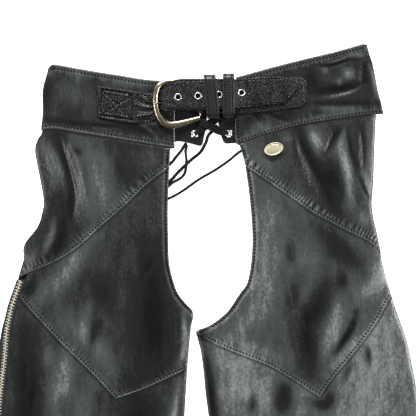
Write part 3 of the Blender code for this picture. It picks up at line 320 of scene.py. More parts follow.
# %% [markdown]
# The leather's tone carries painted light and shade. Each row below is a route with a half width and an amount,
# plus for a painted highlight where a fold catches the light and minus for painted shade in its hollow. The sum
# of the rows becomes an attribute on the leather's points, and the same rows raise or sink it a little.
# %% Painted highlights and shade
PAINTED_LIGHT_ROWS = {
    "left": [
        ([(-199, 79), (-185, 56), (-182, 25)], 7, 0.8),
        ([(-179, 82), (-170, 56), (-161, 26), (-164, 3), (-158, -20)], 8, -1.0),
        ([(-167, 76), (-158, 56), (-150, 26), (-145, 3)], 2.6, 1.0),
        ([(-160, 72), (-152, 63)], 4, -0.6),
        ([(-155, 82), (-133, 49), (-127, 18), (-142, -20)], 18, 0.8),
        ([(-112, 41), (-96, 49)], 14, -0.4),
        ([(-78, 60), (-60, 58)], 14, 0.3),
        ([(-184, -14), (-189, -37), (-198, -57)], 4, 0.8),
        ([(-172, -12), (-177, -37), (-186, -57)], 6, -0.9),
        ([(-210, -54), (-214, -72)], 4, 0.5),
        ([(-198, 34), (-199, 2), (-206, -24)], 6, -0.5),
        ([(-120, -6), (-104, 8), (-86, 24)], 7, 0.4),
        ([(-142, -36), (-164, -69), (-184, -92), (-205, -112)], 12, 0.7),
        ([(-211, -88), (-219, -106)], 7, -0.6),
        ([(-179, -124), (-152, -152), (-130, -172), (-112, -210)], 14, 0.6),
        ([(-142, -112), (-150, -149)], 5, 0.5),
        ([(-133, -137), (-142, -170)], 5, -0.7),
        ([(-127, -88), (-122, -118)], 12, -0.5),
        ([(-90, -40), (-84, -90)], 9, 0.25),
        ([(-72, -49), (-68, -103), (-65, -164), (-73, -194)], 22, -0.9),
        ([(-29, -126), (-28, -165), (-34, -188)], 3.6, 1.3),
        ([(-191, -167), (-192, -189)], 5, 0.6),
        ([(-170, -172), (-173, -202), (-184, -241)], 12, 0.9),
        ([(-219, -149), (-216, -241), (-222, -300)], 14, -0.8),
        ([(-142, -212), (-150, -241), (-146, -300)], 10, 0.6),
        ([(-92, -220), (-82, -248), (-86, -310)], 20, -0.7),
        ([(-34, -207), (-41, -248), (-46, -300)], 4.5, 1.0),
        ([(-176, -260), (-168, -340), (-178, -420)], 16, 0.6),
        ([(-120, -320), (-112, -420)], 14, -0.6),
        ([(-82, -380), (-76, -480)], 12, 0.5),
        ([(-222, -440), (-180, -464), (-126, -470)], 7, 0.6),
        ([(-210, -456), (-170, -480), (-120, -484)], 5, -0.8),
        ([(-214, -560), (-198, -680), (-206, -800)], 14, 0.6),
        ([(-160, -540), (-150, -660), (-160, -800)], 14, -0.7),
        ([(-104, -540), (-114, -680), (-104, -820)], 16, 0.5),
    ],
    "right": [
        ([(54, 74), (60, 57), (82, 49)], 14, 0.5),
        ([(65, 64), (77, 58.4), (90, 64)], 2.6, -0.6),
        ([(97, 88), (98, 78)], 8, 0.4),
        ([(108, 95), (111, 79), (120, 57), (131, 33), (143, 10), (153, -5)], 9, -1.2),
        ([(122, 92), (131, 79), (137, 67)], 8, 1.0),
        ([(160, 96), (150, 82), (140, 66)], 4.4, -1.1),
        ([(162, 95), (160, 72), (166, 49), (169, 26), (171, 3)], 5.5, 1.1),
        ([(166, 98), (171, 72), (179, 49)], 2.8, -0.8),
        ([(182, 95), (183, 72), (186, 49)], 4.6, -1.0),
        ([(196, 80), (192, 41), (189, 10)], 6, 0.6),
        ([(183, 36), (189, 21), (196, 10)], 1.8, -0.7),
        ([(144, 49), (156, 18)], 10, -0.9),
        ([(182, -4), (193, -21)], 8, 0.7),
        ([(84, 30), (106, 12), (126, 2)], 8, 0.3),
        ([(65, -12), (68, -71), (56, -127), (26, -151)], 17, 0.6),
        ([(70, 12), (84, -28)], 12, 0.3),
        ([(115, -55), (123, -71)], 10, 0.35),
        ([(97, -42), (101, -67)], 6, -0.5),
        ([(133, -22), (163, -55), (187, -71)], 14, -0.7),
        ([(204, -62), (204, -87), (184, -105)], 11, 1.0),
        ([(160, -79), (163, -95)], 6, -0.7),
        ([(144, -95), (131, -119), (115, -143), (118, -175), (120, -200)], 13, -1.2),
        ([(104, -87), (97, -127)], 8, -0.6),
        ([(158, -114), (152, -143), (142, -175)], 8, 0.9),
        ([(178, -122), (174, -140), (163, -159), (152, -175)], 3.8, -1.1),
        ([(188, -150), (163, -176), (142, -200)], 6, 0.6),
        ([(19, -157), (51, -168), (91, -184)], 9, 0.5),
        ([(-12, -151), (-4, -154)], 7, -1.2),
        ([(-6, -160), (0, -200), (6, -245), (14, -300)], 7, -1.4),
        ([(19, -183), (43, -199), (27, -231)], 14, 0.6),
        ([(89, -207), (91, -223), (89, -250)], 11, -1.2),
        ([(67, -207), (68, -239)], 7, 0.5),
        ([(55, -227), (51, -246)], 4.6, -0.8),
        ([(123, -232), (142, -236), (147, -218)], 8, -1.1),
        ([(211, -127), (206, -167), (195, -207), (179, -240)], 22, 0.45),
        ([(191, -166), (194, -188)], 3.6, -1.2),
        ([(171, -188), (163, -207)], 4.4, -0.7),
        ([(186, -250), (178, -340), (190, -420)], 18, 0.8),
        ([(128, -260), (136, -350), (126, -430)], 14, -0.8),
        ([(64, -280), (72, -380), (66, -440)], 16, 0.6),
        ([(216, -436), (176, -458), (126, -466)], 7, 0.6),
        ([(206, -452), (160, -476), (116, -482)], 5, -0.8),
        ([(84, -540), (96, -680), (86, -820)], 16, 0.6),
        ([(140, -540), (146, -680), (138, -820)], 14, -0.7),
        ([(196, -560), (184, -680), (196, -800)], 14, 0.5),
    ],
}
YOKE_PAINTED_LIGHT_ROWS = {
    "left": [
        ([(-196, 105), (-173, 103), (-140, 98), (-96, 96), (-66, 92)], 3.6, -1.0),
        ([(-178, 146), (-160, 138), (-146, 126)], 13, 0.35),
        ([(-160, 158), (-152, 156)], 6, 0.4),
        ([(-82, 103), (-66, 104)], 3, 0.7),
        ([(-90, 96), (-70, 93), (-50, 91)], 3.4, -0.9),
        ([(-120, 150), (-100, 150), (-80, 147)], 6, 0.3),
        ([(-192, 150), (-196, 122)], 5, -0.5),
    ],
    "right": [
        ([(174, 183), (191, 182)], 4, 0.7),
        ([(136, 169.4), (171, 176.4), (192, 182)], 1.5, -0.9),
        ([(162, 166), (174, 157)], 7, 1.0),
        ([(154, 150), (162, 149)], 6, 0.6),
        ([(136, 166), (145, 164)], 5, 0.5),
        ([(128, 139), (156, 142), (174, 148), (189, 151)], 4.6, -1.3),
        ([(186, 173), (188, 156)], 4, -1.0),
        ([(122, 162), (125, 140)], 8, -0.9),
        ([(194, 172), (198, 160), (203, 133)], 3.4, 0.9),
        ([(128, 121), (158, 118.5), (182, 121)], 5, 0.6),
        ([(128, 125.5), (158, 125.5), (203, 126)], 2.6, -0.9),
        ([(86, 110), (104, 116)], 6, -0.7),
        ([(44, 104), (67, 112), (86, 106)], 4, -1.0),
        ([(50, 92), (62, 98), (80, 98)], 7, 0.5),
    ],
}
PLAIN_TONE = 0.4
# Each panel's level of painted light, from which its painted highlights and shade are counted. The right leg is set
# lighter, for the brighter light that falls on it.
LEG_TONE = {
    "left": {"hip": 0.40, "thigh": 0.49, "lower": 0.51, "back": 0.36},
    "right": {"hip": 0.49, "thigh": 0.64, "lower": 0.88, "back": 0.4},
}
# Each front yoke's level of painted light.
YOKE_TONE = {"left": 0.42, "right": 0.36}


def painted_light_tone(x, y, rows, plain):
    """How much painted highlight and painted shade the leather gets, as a tone from 0 to 1, at plan points."""
    return plain + 0.6 * fold_height(x, y, rows)


def light_row_relief(x, y, rows):
    return fold_height(x, y, [(route, wide, 0.07 * min(wide, 9) * amount) for route, wide, amount in rows])


def give_tone(piece, values):
    """Writes the tone onto the piece's points; on the leg panels and front yokes it is painted highlight and painted
    shade. Above 0.66 it rises ever more gently, so no patch goes flat.
    """
    over = np.maximum(values - 0.66, 0)
    settled = np.clip(np.minimum(values, 0.66) + 0.3 * np.tanh(over / 0.36), 0.02, 1.0)
    layer = piece.data.attributes.new("light_and_shade", "FLOAT", "POINT")
    layer.data.foreach_set("value", np.ascontiguousarray(settled, float))


# The rows counted here are painted highlights and painted shade.
print("rubbed places", {side: len(PAINTED_LIGHT_ROWS[side]) + len(YOKE_PAINTED_LIGHT_ROWS[side]) for side in SIDES})

# %% [markdown]
# The front of a leg lies on its back like the top of a flattened tube: low at the two folds and fuller between
# them. Above the crotch its inner edge is free and the laces pass beneath, so there it stays up. This is the
# height of the underside, and the folds are added to it.
# %% Height of the front leather
LEATHER = 1.6
BACK_LEATHER = 1.5
GAP = 0.3
FRONT_BASE = BACK_LEATHER + GAP
ZIP_HALF = 5.3
ROLL = 2.2


def inner_x(side, y):
    return read(CURVES[side]["inner"], y)


def outer_x(side, y):
    return read(CURVES[side]["outer"], y)


def chain_at(side, y):
    return read(CURVES[side]["chain"], y)


def seam_tone(x, y, edges):
    """What a seam adds to the tone, as painted light: a painted highlight on its ridge and gathers, painted shade
    where it sinks.
    """
    tone_here = np.zeros(np.broadcast(x, y).shape)
    for line, kind, phase, gathered in edges:
        away, along, _ = way_to(x, y, line)
        if kind == "over":
            # Over: a painted highlight on the ridge and beside it, and lighter and darker gather ticks.
            pleats = (0.1 + gathered) * gathers(along, 5.2, phase)
            tone_here = tone_here + 0.26 * np.exp(-(((away - 1.2) / 1.0) ** 2))
            tone_here = tone_here + 0.2 * np.exp(-(((away - 3.5) / 3.0) ** 2))
            tone_here = tone_here + 0.8 * pleats * np.exp(-(((away - 7.5) / 3.6) ** 2))
        if kind == "under":
            # Under: a painted shadow along the seam.
            tone_here = tone_here - 0.5 * np.exp(-((away / 1.6) ** 2))
        if kind == "free":
            # Free edge: painted shade at the edge and a painted highlight just inside it.
            tone_here = tone_here + 0.35 * np.exp(-(((away - 5.6) / 1.6) ** 2)) - 0.2 * np.exp(-((away / 3.4) ** 2))
    return tone_here


def front_low(side, x, y, fine=True):
    plan = PLAN[side]
    from_outer = np.maximum((outer_x(side, y) - x) * plan["out"], 0)
    from_inner = np.maximum((x - inner_x(side, y)) * plan["out"], 0)
    free = ease(y, plan["crotch"] - 10, plan["crotch"] + 60)
    outer_roll = ROLL * np.sqrt(1 - (1 - np.minimum(from_outer / 14, 1)) ** 2)
    inner_roll = ROLL * np.sqrt(1 - (1 - np.minimum(from_inner / 14, 1)) ** 2)
    lifted = ROLL * ease(y, plan["crotch"] + 20, plan["crotch"] + 110)
    inner_part = (1 - free) * inner_roll + free * lifted
    blend = ease(from_inner - from_outer, -40, 40)
    roll = (1 - blend) * inner_part + blend * np.minimum(outer_roll, np.maximum(inner_part, outer_roll))
    room = np.minimum(from_outer / 16, 1) * np.where(free > 0.5, 1, np.minimum(from_inner / 16, 1))
    height = roll + room * fold_height(x, y, FOLDS[side])
    if fine:
        height = height + room * (fold_height(x, y, CREASES[side]) + light_row_relief(x, y, PAINTED_LIGHT_ROWS[side]))
    beneath_zip = 0.8 if side == "right" else 0.0
    return FRONT_BASE + np.maximum(height, 0) + beneath_zip * (1 - ease(from_outer, 10, 60))


def front_edge(side, y):
    """How far the front leather stops short of the outer fold, to leave room for the zip."""
    return np.maximum(0, ZIP_HALF + GAP + PLAN[side]["slack"] - chain_at(side, y))


# %% [markdown]
# A sewn seam shows in the leather around it. The panel on top turns up into a rolled ridge with a row of
# stitches pressed into it, the one beneath dips, and the thread draws short gathers across both. The gathers
# come from a wave whose spacing and depth drift along the seam, so that no two are alike.
# %% Relief along a seam
STITCH_ROW = 3.3
FREE_ROW = 3.2


def gathers(along, pitch, phase):
    drift = 1.1 * np.sin(along / 23 + phase) + 0.55 * np.sin(along / 7.3 + 2 * phase)
    size = 0.55 + 0.45 * np.sin(along / 27 + 1.3 * phase) * np.sin(along / 8.7 + phase)
    return size * np.cos(2 * math.pi * (along / pitch + drift))


def seam_relief(x, y, line, kind, phase=0.0, gathered=0.1):
    """Height that a seam adds to a panel: over, under or free."""
    away, along, _ = way_to(x, y, line)
    if kind == "over":
        lift = 0.75 * np.exp(-(((away - 1.3) / 1.2) ** 2)) - 0.6 * np.exp(-((away / 0.7) ** 2))
        trough = -0.2 * np.exp(-(((away - STITCH_ROW) / 0.8) ** 2))
        crimp = gathered * gathers(along, 5.2, phase) * np.exp(-(((away - 7.0) / 4.5) ** 2))
        return lift + trough + crimp
    if kind == "under":
        crimp = gathered * gathers(along, 6.1, phase + 1) * np.exp(-(((away - 3.0) / 3.0) ** 2))
        return -0.35 * np.exp(-((away / 1.2) ** 2)) + crimp
    lift = -0.8 * np.exp(-((away / 0.8) ** 2)) + 0.25 * np.exp(-(((away - 1.7) / 1.1) ** 2))
    trough = -0.42 * np.exp(-(((away - FREE_ROW) / 0.8) ** 2))
    crimp = 0.16 * gathers(along, 4.4, phase + 2) * np.exp(-(((away - 3.6) / 2.4) ** 2))
    return lift + trough + crimp


def across_line(curve):
    """A seam's curve as points (x, y), every few millimetres."""
    return np.stack([curve[0], curve[1]], axis=1)[::3]


def upright_line(curve, low, high):
    """An edge's curve, read by height, as points (x, y)."""
    heights = np.linspace(low, high, max(8, int(abs(high - low) / 4)))
    return np.stack([read(curve, heights), heights], axis=1)


# %% [markdown]
# Each leather panel starts as a grid primitive. Its columns run from the inner to the outer edge and its rows
# from the upper to the lower seam, so moving the grid's points onto the plan bends it to the pattern piece's
# outline with no cut edges. A Solidify modifier then gives the leather its thickness, downwards.
# %% Grids and walls


def lay_grid(name, columns, rows):
    """A flat grid primitive and its two shares, across and down, for each point."""
    bpy.ops.object.select_all(action="DESELECT")
    bpy.ops.mesh.primitive_grid_add(x_subdivisions=columns, y_subdivisions=rows, size=1.0, location=(0, 0, 0))
    piece = bpy.context.object
    piece.name = name
    piece.data.name = name
    flat = np.zeros(len(piece.data.vertices) * 3)
    piece.data.vertices.foreach_get("co", flat)
    flat = flat.reshape(-1, 3)
    return piece, flat[:, 0] + 0.5, 0.5 - flat[:, 1]


def place(x, y, z):
    """Points in metres in the frame, from plan millimetres."""
    return np.stack([x * MM + PLAN_ORIGIN.x, y * MM + PLAN_ORIGIN.y, z * MM], axis=1)


def put(piece, points):
    piece.data.vertices.foreach_set("co", np.ascontiguousarray(points, float).ravel())
    piece.data.update()


def plan_uv(piece, u, v):
    """A UV map in metres of leather, so that grain keeps its real size on the surface."""
    layer = piece.data.uv_layers[0] if piece.data.uv_layers else piece.data.uv_layers.new(name="UVMap")
    corner = np.zeros(len(piece.data.loops), int)
    piece.data.loops.foreach_get("vertex_index", corner)
    layer.data.foreach_set("uv", np.stack([u[corner], v[corner]], axis=1).ravel())


def pick(piece):
    bpy.ops.object.select_all(action="DESELECT")
    bpy.context.view_layer.objects.active = piece
    piece.select_set(True)


def tidy_faces(piece):
    """Merges doubled points and turns every face outwards."""
    pick(piece)
    bpy.ops.object.mode_set(mode="EDIT")
    bpy.ops.mesh.select_all(action="SELECT")
    bpy.ops.mesh.remove_doubles(threshold=0.00001)
    bpy.ops.mesh.normals_make_consistent(inside=False)
    bpy.ops.object.mode_set(mode="OBJECT")


def face_up(piece):
    """Turns a single layer so that its faces look up."""
    pick(piece)
    bpy.ops.object.mode_set(mode="EDIT")
    bpy.ops.mesh.select_all(action="SELECT")
    bpy.ops.mesh.normals_make_consistent(inside=False)
    bpy.ops.object.mode_set(mode="OBJECT")
    rise = sum(face.normal.z * face.area for face in piece.data.polygons)
    if rise < 0:
        bpy.ops.object.mode_set(mode="EDIT")
        bpy.ops.mesh.flip_normals()
        bpy.ops.object.mode_set(mode="OBJECT")


def give_wall(piece, thickness, offset=-1.0, bevel=0.0):
    pick(piece)
    wall = piece.modifiers.new("wall", "SOLIDIFY")
    wall.thickness = thickness * MM
    wall.offset = offset
    wall.use_even_offset = False
    bpy.ops.object.modifier_apply(modifier="wall")
    bpy.ops.object.shade_smooth_by_angle(angle=math.radians(50))


def share_columns(s, stop, columns):
    """Moves the middle column of a grid onto the seam's point."""
    middle = round(columns * stop) / columns
    return np.where(s <= middle, stop * s / middle, stop + (1 - stop) * (s - middle) / (1 - middle))


def sheet_area(piece):
    return sum(face.area for face in piece.data.polygons)


def declare_leather(piece, node, area, flat):
    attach(piece, "garment")
    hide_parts(node)
    share = area / (flat[0] * flat[1])
    print(f"{piece.name}: {len(piece.data.polygons)} faces, cut {area * 1e4:.0f} cm2, {share:.2f} of its rectangle")


# %% [markdown]
# Leather needs more than a black colour. Its grain is a pattern of small cells with fine pores, pressed out
# flatter where it shines, so one cell texture and two noises feed the bump, the roughness and a faint change
# of tone. All of them read Object coordinates in metres, and no value depends on where the camera stands.
# %% Materials


def new_material(name):
    material = bpy.data.materials.new(name)
    material.use_nodes = True
    nodes, links = material.node_tree.nodes, material.node_tree.links
    return material, nodes, links, nodes["Principled BSDF"]


def noise(nodes, links, coordinates, scale, detail=3.0, rough=0.5):
    texture = nodes.new("ShaderNodeTexNoise")
    texture.inputs["Scale"].default_value = scale
    texture.inputs["Detail"].default_value = detail
    texture.inputs["Roughness"].default_value = rough
    links.new(coordinates, texture.inputs["Vector"])
    return texture.outputs["Fac"]


def ramp(nodes, links, source, low, high, start=0.0, stop=1.0):
    """Maps a 0 to 1 value onto a range."""
    node = nodes.new("ShaderNodeMapRange")
    node.inputs["From Min"].default_value = start
    node.inputs["From Max"].default_value = stop
    node.inputs["To Min"].default_value = low
    node.inputs["To Max"].default_value = high
    links.new(source, node.inputs["Value"])
    return node.outputs["Result"]


def bump(nodes, links, height, strength, distance, before=None):
    node = nodes.new("ShaderNodeBump")
    node.inputs["Strength"].default_value = strength
    node.inputs["Distance"].default_value = distance
    links.new(height, node.inputs["Height"])
    if before is not None:
        links.new(before, node.inputs["Normal"])
    return node.outputs["Normal"]


def tone(nodes, links, source, dark, light, start=0.35, stop=0.65):
    node = nodes.new("ShaderNodeValToRGB")
    node.color_ramp.elements[0].position = start
    node.color_ramp.elements[0].color = (*dark, 1)
    node.color_ramp.elements[1].position = stop
    node.color_ramp.elements[1].color = (*light, 1)
    links.new(source, node.inputs["Fac"])
    return node.outputs["Color"]


def stretched(nodes, links, coordinates, along):
    """Coordinates pressed together along Y, so that a noise on them draws out into streaks."""
    node = nodes.new("ShaderNodeMapping")
    node.inputs["Scale"].default_value = (1.0, along, 1.0)
    links.new(coordinates, node.inputs["Vector"])
    return node.outputs["Vector"]


def math_node(nodes, links, kind, first, second):
    node = nodes.new("ShaderNodeMath")
    node.operation = kind
    node.use_clamp = kind == "ADD"
    links.new(first, node.inputs[0])
    links.new(second, node.inputs[1])
    return node.outputs[0]


def grain_of(nodes, links, coordinates, cells, cell_depth, pore_depth):
    """The bump of leather: small cells, and finer pores over them."""
    cell = nodes.new("ShaderNodeTexVoronoi")
    cell.feature = "DISTANCE_TO_EDGE"
    cell.inputs["Scale"].default_value = cells
    links.new(coordinates, cell.inputs["Vector"])
    plateau = ramp(nodes, links, cell.outputs["Distance"], 0.0, 1.0, 0.0, 0.35)
    pores = noise(nodes, links, coordinates, cells * 2.6, 4.0, 0.6)
    normal = bump(nodes, links, plateau, 0.55, cell_depth)
    return bump(nodes, links, pores, 0.5, pore_depth, normal), plateau


def garment_leather(name, tones, rough):
    """Soft grained leather whose tone follows the painted highlights and painted shade, with wrinkles that run down
    the leg.
    """
    material, nodes, links, shader = new_material(name)
    coordinates = nodes.new("ShaderNodeTexCoord").outputs["Object"]
    # The attribute read here carries the painted highlights and painted shade of the folds and seams, and sets most
    # of the tone.
    light_and_shade = nodes.new("ShaderNodeAttribute")
    light_and_shade.attribute_name = "light_and_shade"
    streaks = noise(nodes, links, stretched(nodes, links, coordinates, 0.3), 120.0, 4.0, 0.6)
    wrinkles = noise(nodes, links, stretched(nodes, links, coordinates, 0.6), 430.0, 3.0, 0.55)
    mixed = math_node(nodes, links, "ADD", light_and_shade.outputs["Fac"], ramp(nodes, links, streaks, -0.10, 0.10, 0.25, 0.75))
    mixed = math_node(nodes, links, "ADD", mixed, ramp(nodes, links, wrinkles, -0.09, 0.09, 0.25, 0.75))
    shade = nodes.new("ShaderNodeValToRGB")
    shade.color_ramp.elements[0].color = (*tones[0], 1)
    shade.color_ramp.elements[1].color = (*tones[3], 1)
    for position, colour in ((PLAIN_TONE, tones[1]), (0.8, tones[2])):
        shade.color_ramp.elements.new(position).color = (*colour, 1)
    links.new(mixed, shade.inputs["Fac"])
    links.new(shade.outputs["Color"], shader.inputs["Base Color"])
    links.new(ramp(nodes, links, mixed, rough + 0.04, rough - 0.03), shader.inputs["Roughness"])
    shader.inputs["Specular IOR Level"].default_value = 0.36
    normal, _ = grain_of(nodes, links, coordinates, 950.0, 0.00005, 0.00002)
    normal = bump(nodes, links, streaks, 0.5, 0.0012, normal)
    normal = bump(nodes, links, wrinkles, 0.5, 0.0003, normal)
    links.new(normal, shader.inputs["Normal"])
    return material


def strap_leather(name, dark, light, rough, cells, cell_depth):
    """Firm leather with an even grain of cells a metre, painted darker in the grooves between the cells, where shade
    falls.
    """
    material, nodes, links, shader = new_material(name)
    coordinates = nodes.new("ShaderNodeTexCoord").outputs["Object"]
    normal, plateau = grain_of(nodes, links, coordinates, cells, cell_depth, 0.00002)
    # Painted shade: the colour darkens in the grooves between the grain cells.
    links.new(tone(nodes, links, plateau, dark, light, 0.0, 1.0), shader.inputs["Base Color"])
    patches = noise(nodes, links, coordinates, 90.0, 3.0)
    links.new(ramp(nodes, links, patches, rough - 0.05, rough + 0.05, 0.3, 0.7), shader.inputs["Roughness"])
    shader.inputs["Specular IOR Level"].default_value = 0.3
    links.new(normal, shader.inputs["Normal"])
    return material


def metal(name, dark, light, rough, scratch):
    """Satin metal with fine worn marks and a little dirt in the tone."""
    material, nodes, links, shader = new_material(name)
    coordinates = nodes.new("ShaderNodeTexCoord").outputs["Object"]
    patches = noise(nodes, links, coordinates, 260.0, 4.0, 0.6)
    marks = noise(nodes, links, coordinates, 1500.0, 3.0, 0.7)
    links.new(tone(nodes, links, patches, dark, light), shader.inputs["Base Color"])
    links.new(ramp(nodes, links, patches, rough + 0.1, rough - 0.05, 0.3, 0.7), shader.inputs["Roughness"])
    links.new(bump(nodes, links, marks, 0.35, scratch), shader.inputs["Normal"])
    shader.inputs["Metallic"].default_value = 1.0
    return material


def cloth(name, dark, light, rough, threads, depth, sheen=0.3):
    """Thread, tape or lace: fine crossed ribs."""
    material, nodes, links, shader = new_material(name)
    coordinates = nodes.new("ShaderNodeTexCoord").outputs["Object"]
    fuzz = noise(nodes, links, coordinates, threads, 3.0, 0.6)
    weave = nodes.new("ShaderNodeTexWave")
    weave.bands_direction = "DIAGONAL"
    weave.inputs["Scale"].default_value = threads / 6
    weave.inputs["Distortion"].default_value = 1.5
    links.new(coordinates, weave.inputs["Vector"])
    links.new(tone(nodes, links, fuzz, dark, light), shader.inputs["Base Color"])
    normal = bump(nodes, links, weave.outputs["Fac"], 0.6, depth)
    links.new(bump(nodes, links, fuzz, 0.4, depth, normal), shader.inputs["Normal"])
    links.new(ramp(nodes, links, fuzz, rough - 0.08, rough + 0.08), shader.inputs["Roughness"])
    shader.inputs["Sheen Weight"].default_value = sheen
    shader.inputs["Sheen Roughness"].default_value = 0.5
    shader.inputs["Specular IOR Level"].default_value = 0.15
    return material


# From dark to light the ramp runs from painted shade to painted highlight.
GARMENT_TONES = ((0.0010, 0.0011, 0.0011), (0.0095, 0.0103, 0.0102), (0.050, 0.0545, 0.054), (0.160, 0.169, 0.166))
GARMENT = garment_leather("garment_leather", GARMENT_TONES, 0.31)
BELT = strap_leather("belt_leather", (0.0006, 0.0006, 0.0006), (0.0055, 0.0055, 0.0054), 0.36, 500.0, 0.0004)
KEEPER = strap_leather("keeper_leather", (0.010, 0.010, 0.0096), (0.018, 0.0178, 0.017), 0.34, 1300.0, 0.00002)
BUCKLE = metal("antique_metal", (0.22, 0.18, 0.12), (0.50, 0.44, 0.34), 0.28, 0.00003)
NICKEL = metal("nickel", (0.50, 0.50, 0.49), (0.62, 0.62, 0.61), 0.36, 0.00001)
TEETH = metal("zip_teeth", (0.62, 0.57, 0.45), (0.86, 0.82, 0.71), 0.40, 0.00001)
PLATE = metal("plate_metal", (0.38, 0.35, 0.25), (0.60, 0.56, 0.43), 0.52, 0.00003)
THREAD = cloth("thread", (0.0004, 0.0004, 0.0004), (0.0012, 0.0012, 0.0012), 0.85, 3000.0, 0.00004, 0.0)
LACE = cloth("lace", (0.0008, 0.0008, 0.0009), (0.003, 0.003, 0.0031), 0.66, 1500.0, 0.0001, 0.02)
TAPE = cloth("zip_tape", (0.008, 0.008, 0.009), (0.018, 0.018, 0.019), 0.75, 1400.0, 0.0001)


def dress(piece, material):
    piece.data.materials.clear()
    piece.data.materials.append(material)


print("materials", len(bpy.data.materials))

# %% [markdown]
# The front of each leg is three panels: hip, thigh with its pointed lower seam, and lower leg. One function
# makes all six. The panel above lies over the one below at each seam, so it gets the ridge and the stitches.
# %% Front panels of the legs


def seam_line(side, name):
    return across_line(CURVES[side][name])


def edge_line(side, name, low, high):
    return upright_line(CURVES[side][name], low, high)


def panel_edges(side, part):
    """The seams and edges round a panel: line, kind and phase of its gathers."""
    crotch = PLAN[side]["crotch"]
    phase = 0.7 if side == "left" else 2.9
    if part == "hip":
        return [
            (seam_line(side, "yoke_bottom"), "under", phase, 0.08),
            (seam_line(side, "seam_1"), "over", phase + 1, 0.5 if side == "left" else 0.75),
            (edge_line(side, "inner", 40, 90), "free", phase + 2, 0.0),
        ]
    if part == "thigh":
        return [
            (seam_line(side, "seam_1"), "under", phase + 3, 0.12),
            (seam_line(side, "seam_2"), "over", phase + 4, 0.12),
            (edge_line(side, "inner", crotch + 1, 60), "free", phase + 5, 0.0),
        ]
    return [(seam_line(side, "seam_2"), "under", phase + 6, 0.08)]


def panel_top(side, part, x, y):
    """Height of a front panel's upper surface."""
    z = front_low(side, x, y) + LEATHER
    for line, kind, phase, gathered in panel_edges(side, part):
        z = z + seam_relief(x, y, line, kind, phase, gathered)
    if part == "lower":
        z = z - 0.35 * np.exp(-(((y - HEM_Y) / 1.2) ** 2))
    return z


PANELS = {
    "hip": {"upper": "yoke_bottom", "lower": "seam_1", "rows": 110, "columns": 126, "zip": False},
    "thigh": {"upper": "seam_1", "lower": "seam_2", "rows": 132, "columns": 160, "zip": True},
    "lower": {"upper": "seam_2", "lower": None, "rows": 240, "columns": 104, "zip": True},
}
TUCK = {"over": 0.35, "under": -0.6}


def panel_grid(side, part):
    spec = PANELS[part]
    plan = PLAN[side]
    point_x, point_y = plan["point"]
    piece, s, t = lay_grid(f"{side}_{part}_leather", spec["columns"], spec["rows"])
    point_outside = outer_x(side, point_y) - plan["out"] * front_edge(side, point_y)
    stop = (point_x - inner_x(side, point_y)) / (point_outside - inner_x(side, point_y))
    s = share_columns(s, stop, spec["columns"])
    if part == "lower":
        t = t**1.25
    upper_shift = TUCK["under"] * -1 if part != "hip" else 0.6
    x = np.full(s.shape, float(point_x))
    y = np.full(s.shape, -100.0)
    for _ in range(60):
        inside = inner_x(side, y)
        outside = outer_x(side, y) - (plan["out"] * front_edge(side, y) if spec["zip"] else 0.0)
        x = inside + s * (outside - inside)
        top = read(CURVES[side][spec["upper"]], x) + upper_shift
        bottom = read(CURVES[side][spec["lower"]], x) - TUCK["over"] if spec["lower"] else HEM_Y
        y = 0.5 * y + 0.5 * ((1 - t) * top + t * bottom)
    put(piece, place(x, y, panel_top(side, part, x, y)))
    plan_uv(piece, x * MM, y * MM)
    # The panel's tone is painted light: its level, the rows of painted highlights and shade, and what its seams add.
    painted_tone = painted_light_tone(x, y, PAINTED_LIGHT_ROWS[side], LEG_TONE[side][part]) + seam_tone(x, y, panel_edges(side, part))
    give_tone(piece, painted_tone)
    face_up(piece)
    return piece


def front_panels():
    sizes = {"hip": (0.19, 0.185), "thigh": (0.24, 0.29), "lower": (0.26, 0.80)}
    for side in SIDES:
        for part in PANELS:
            piece = panel_grid(side, part)
            area = sheet_area(piece)
            give_wall(piece, LEATHER - 0.2)
            dress(piece, GARMENT)
            declare_leather(piece, f"{side}_{part}_panel", area, sizes[part])


front_panels()

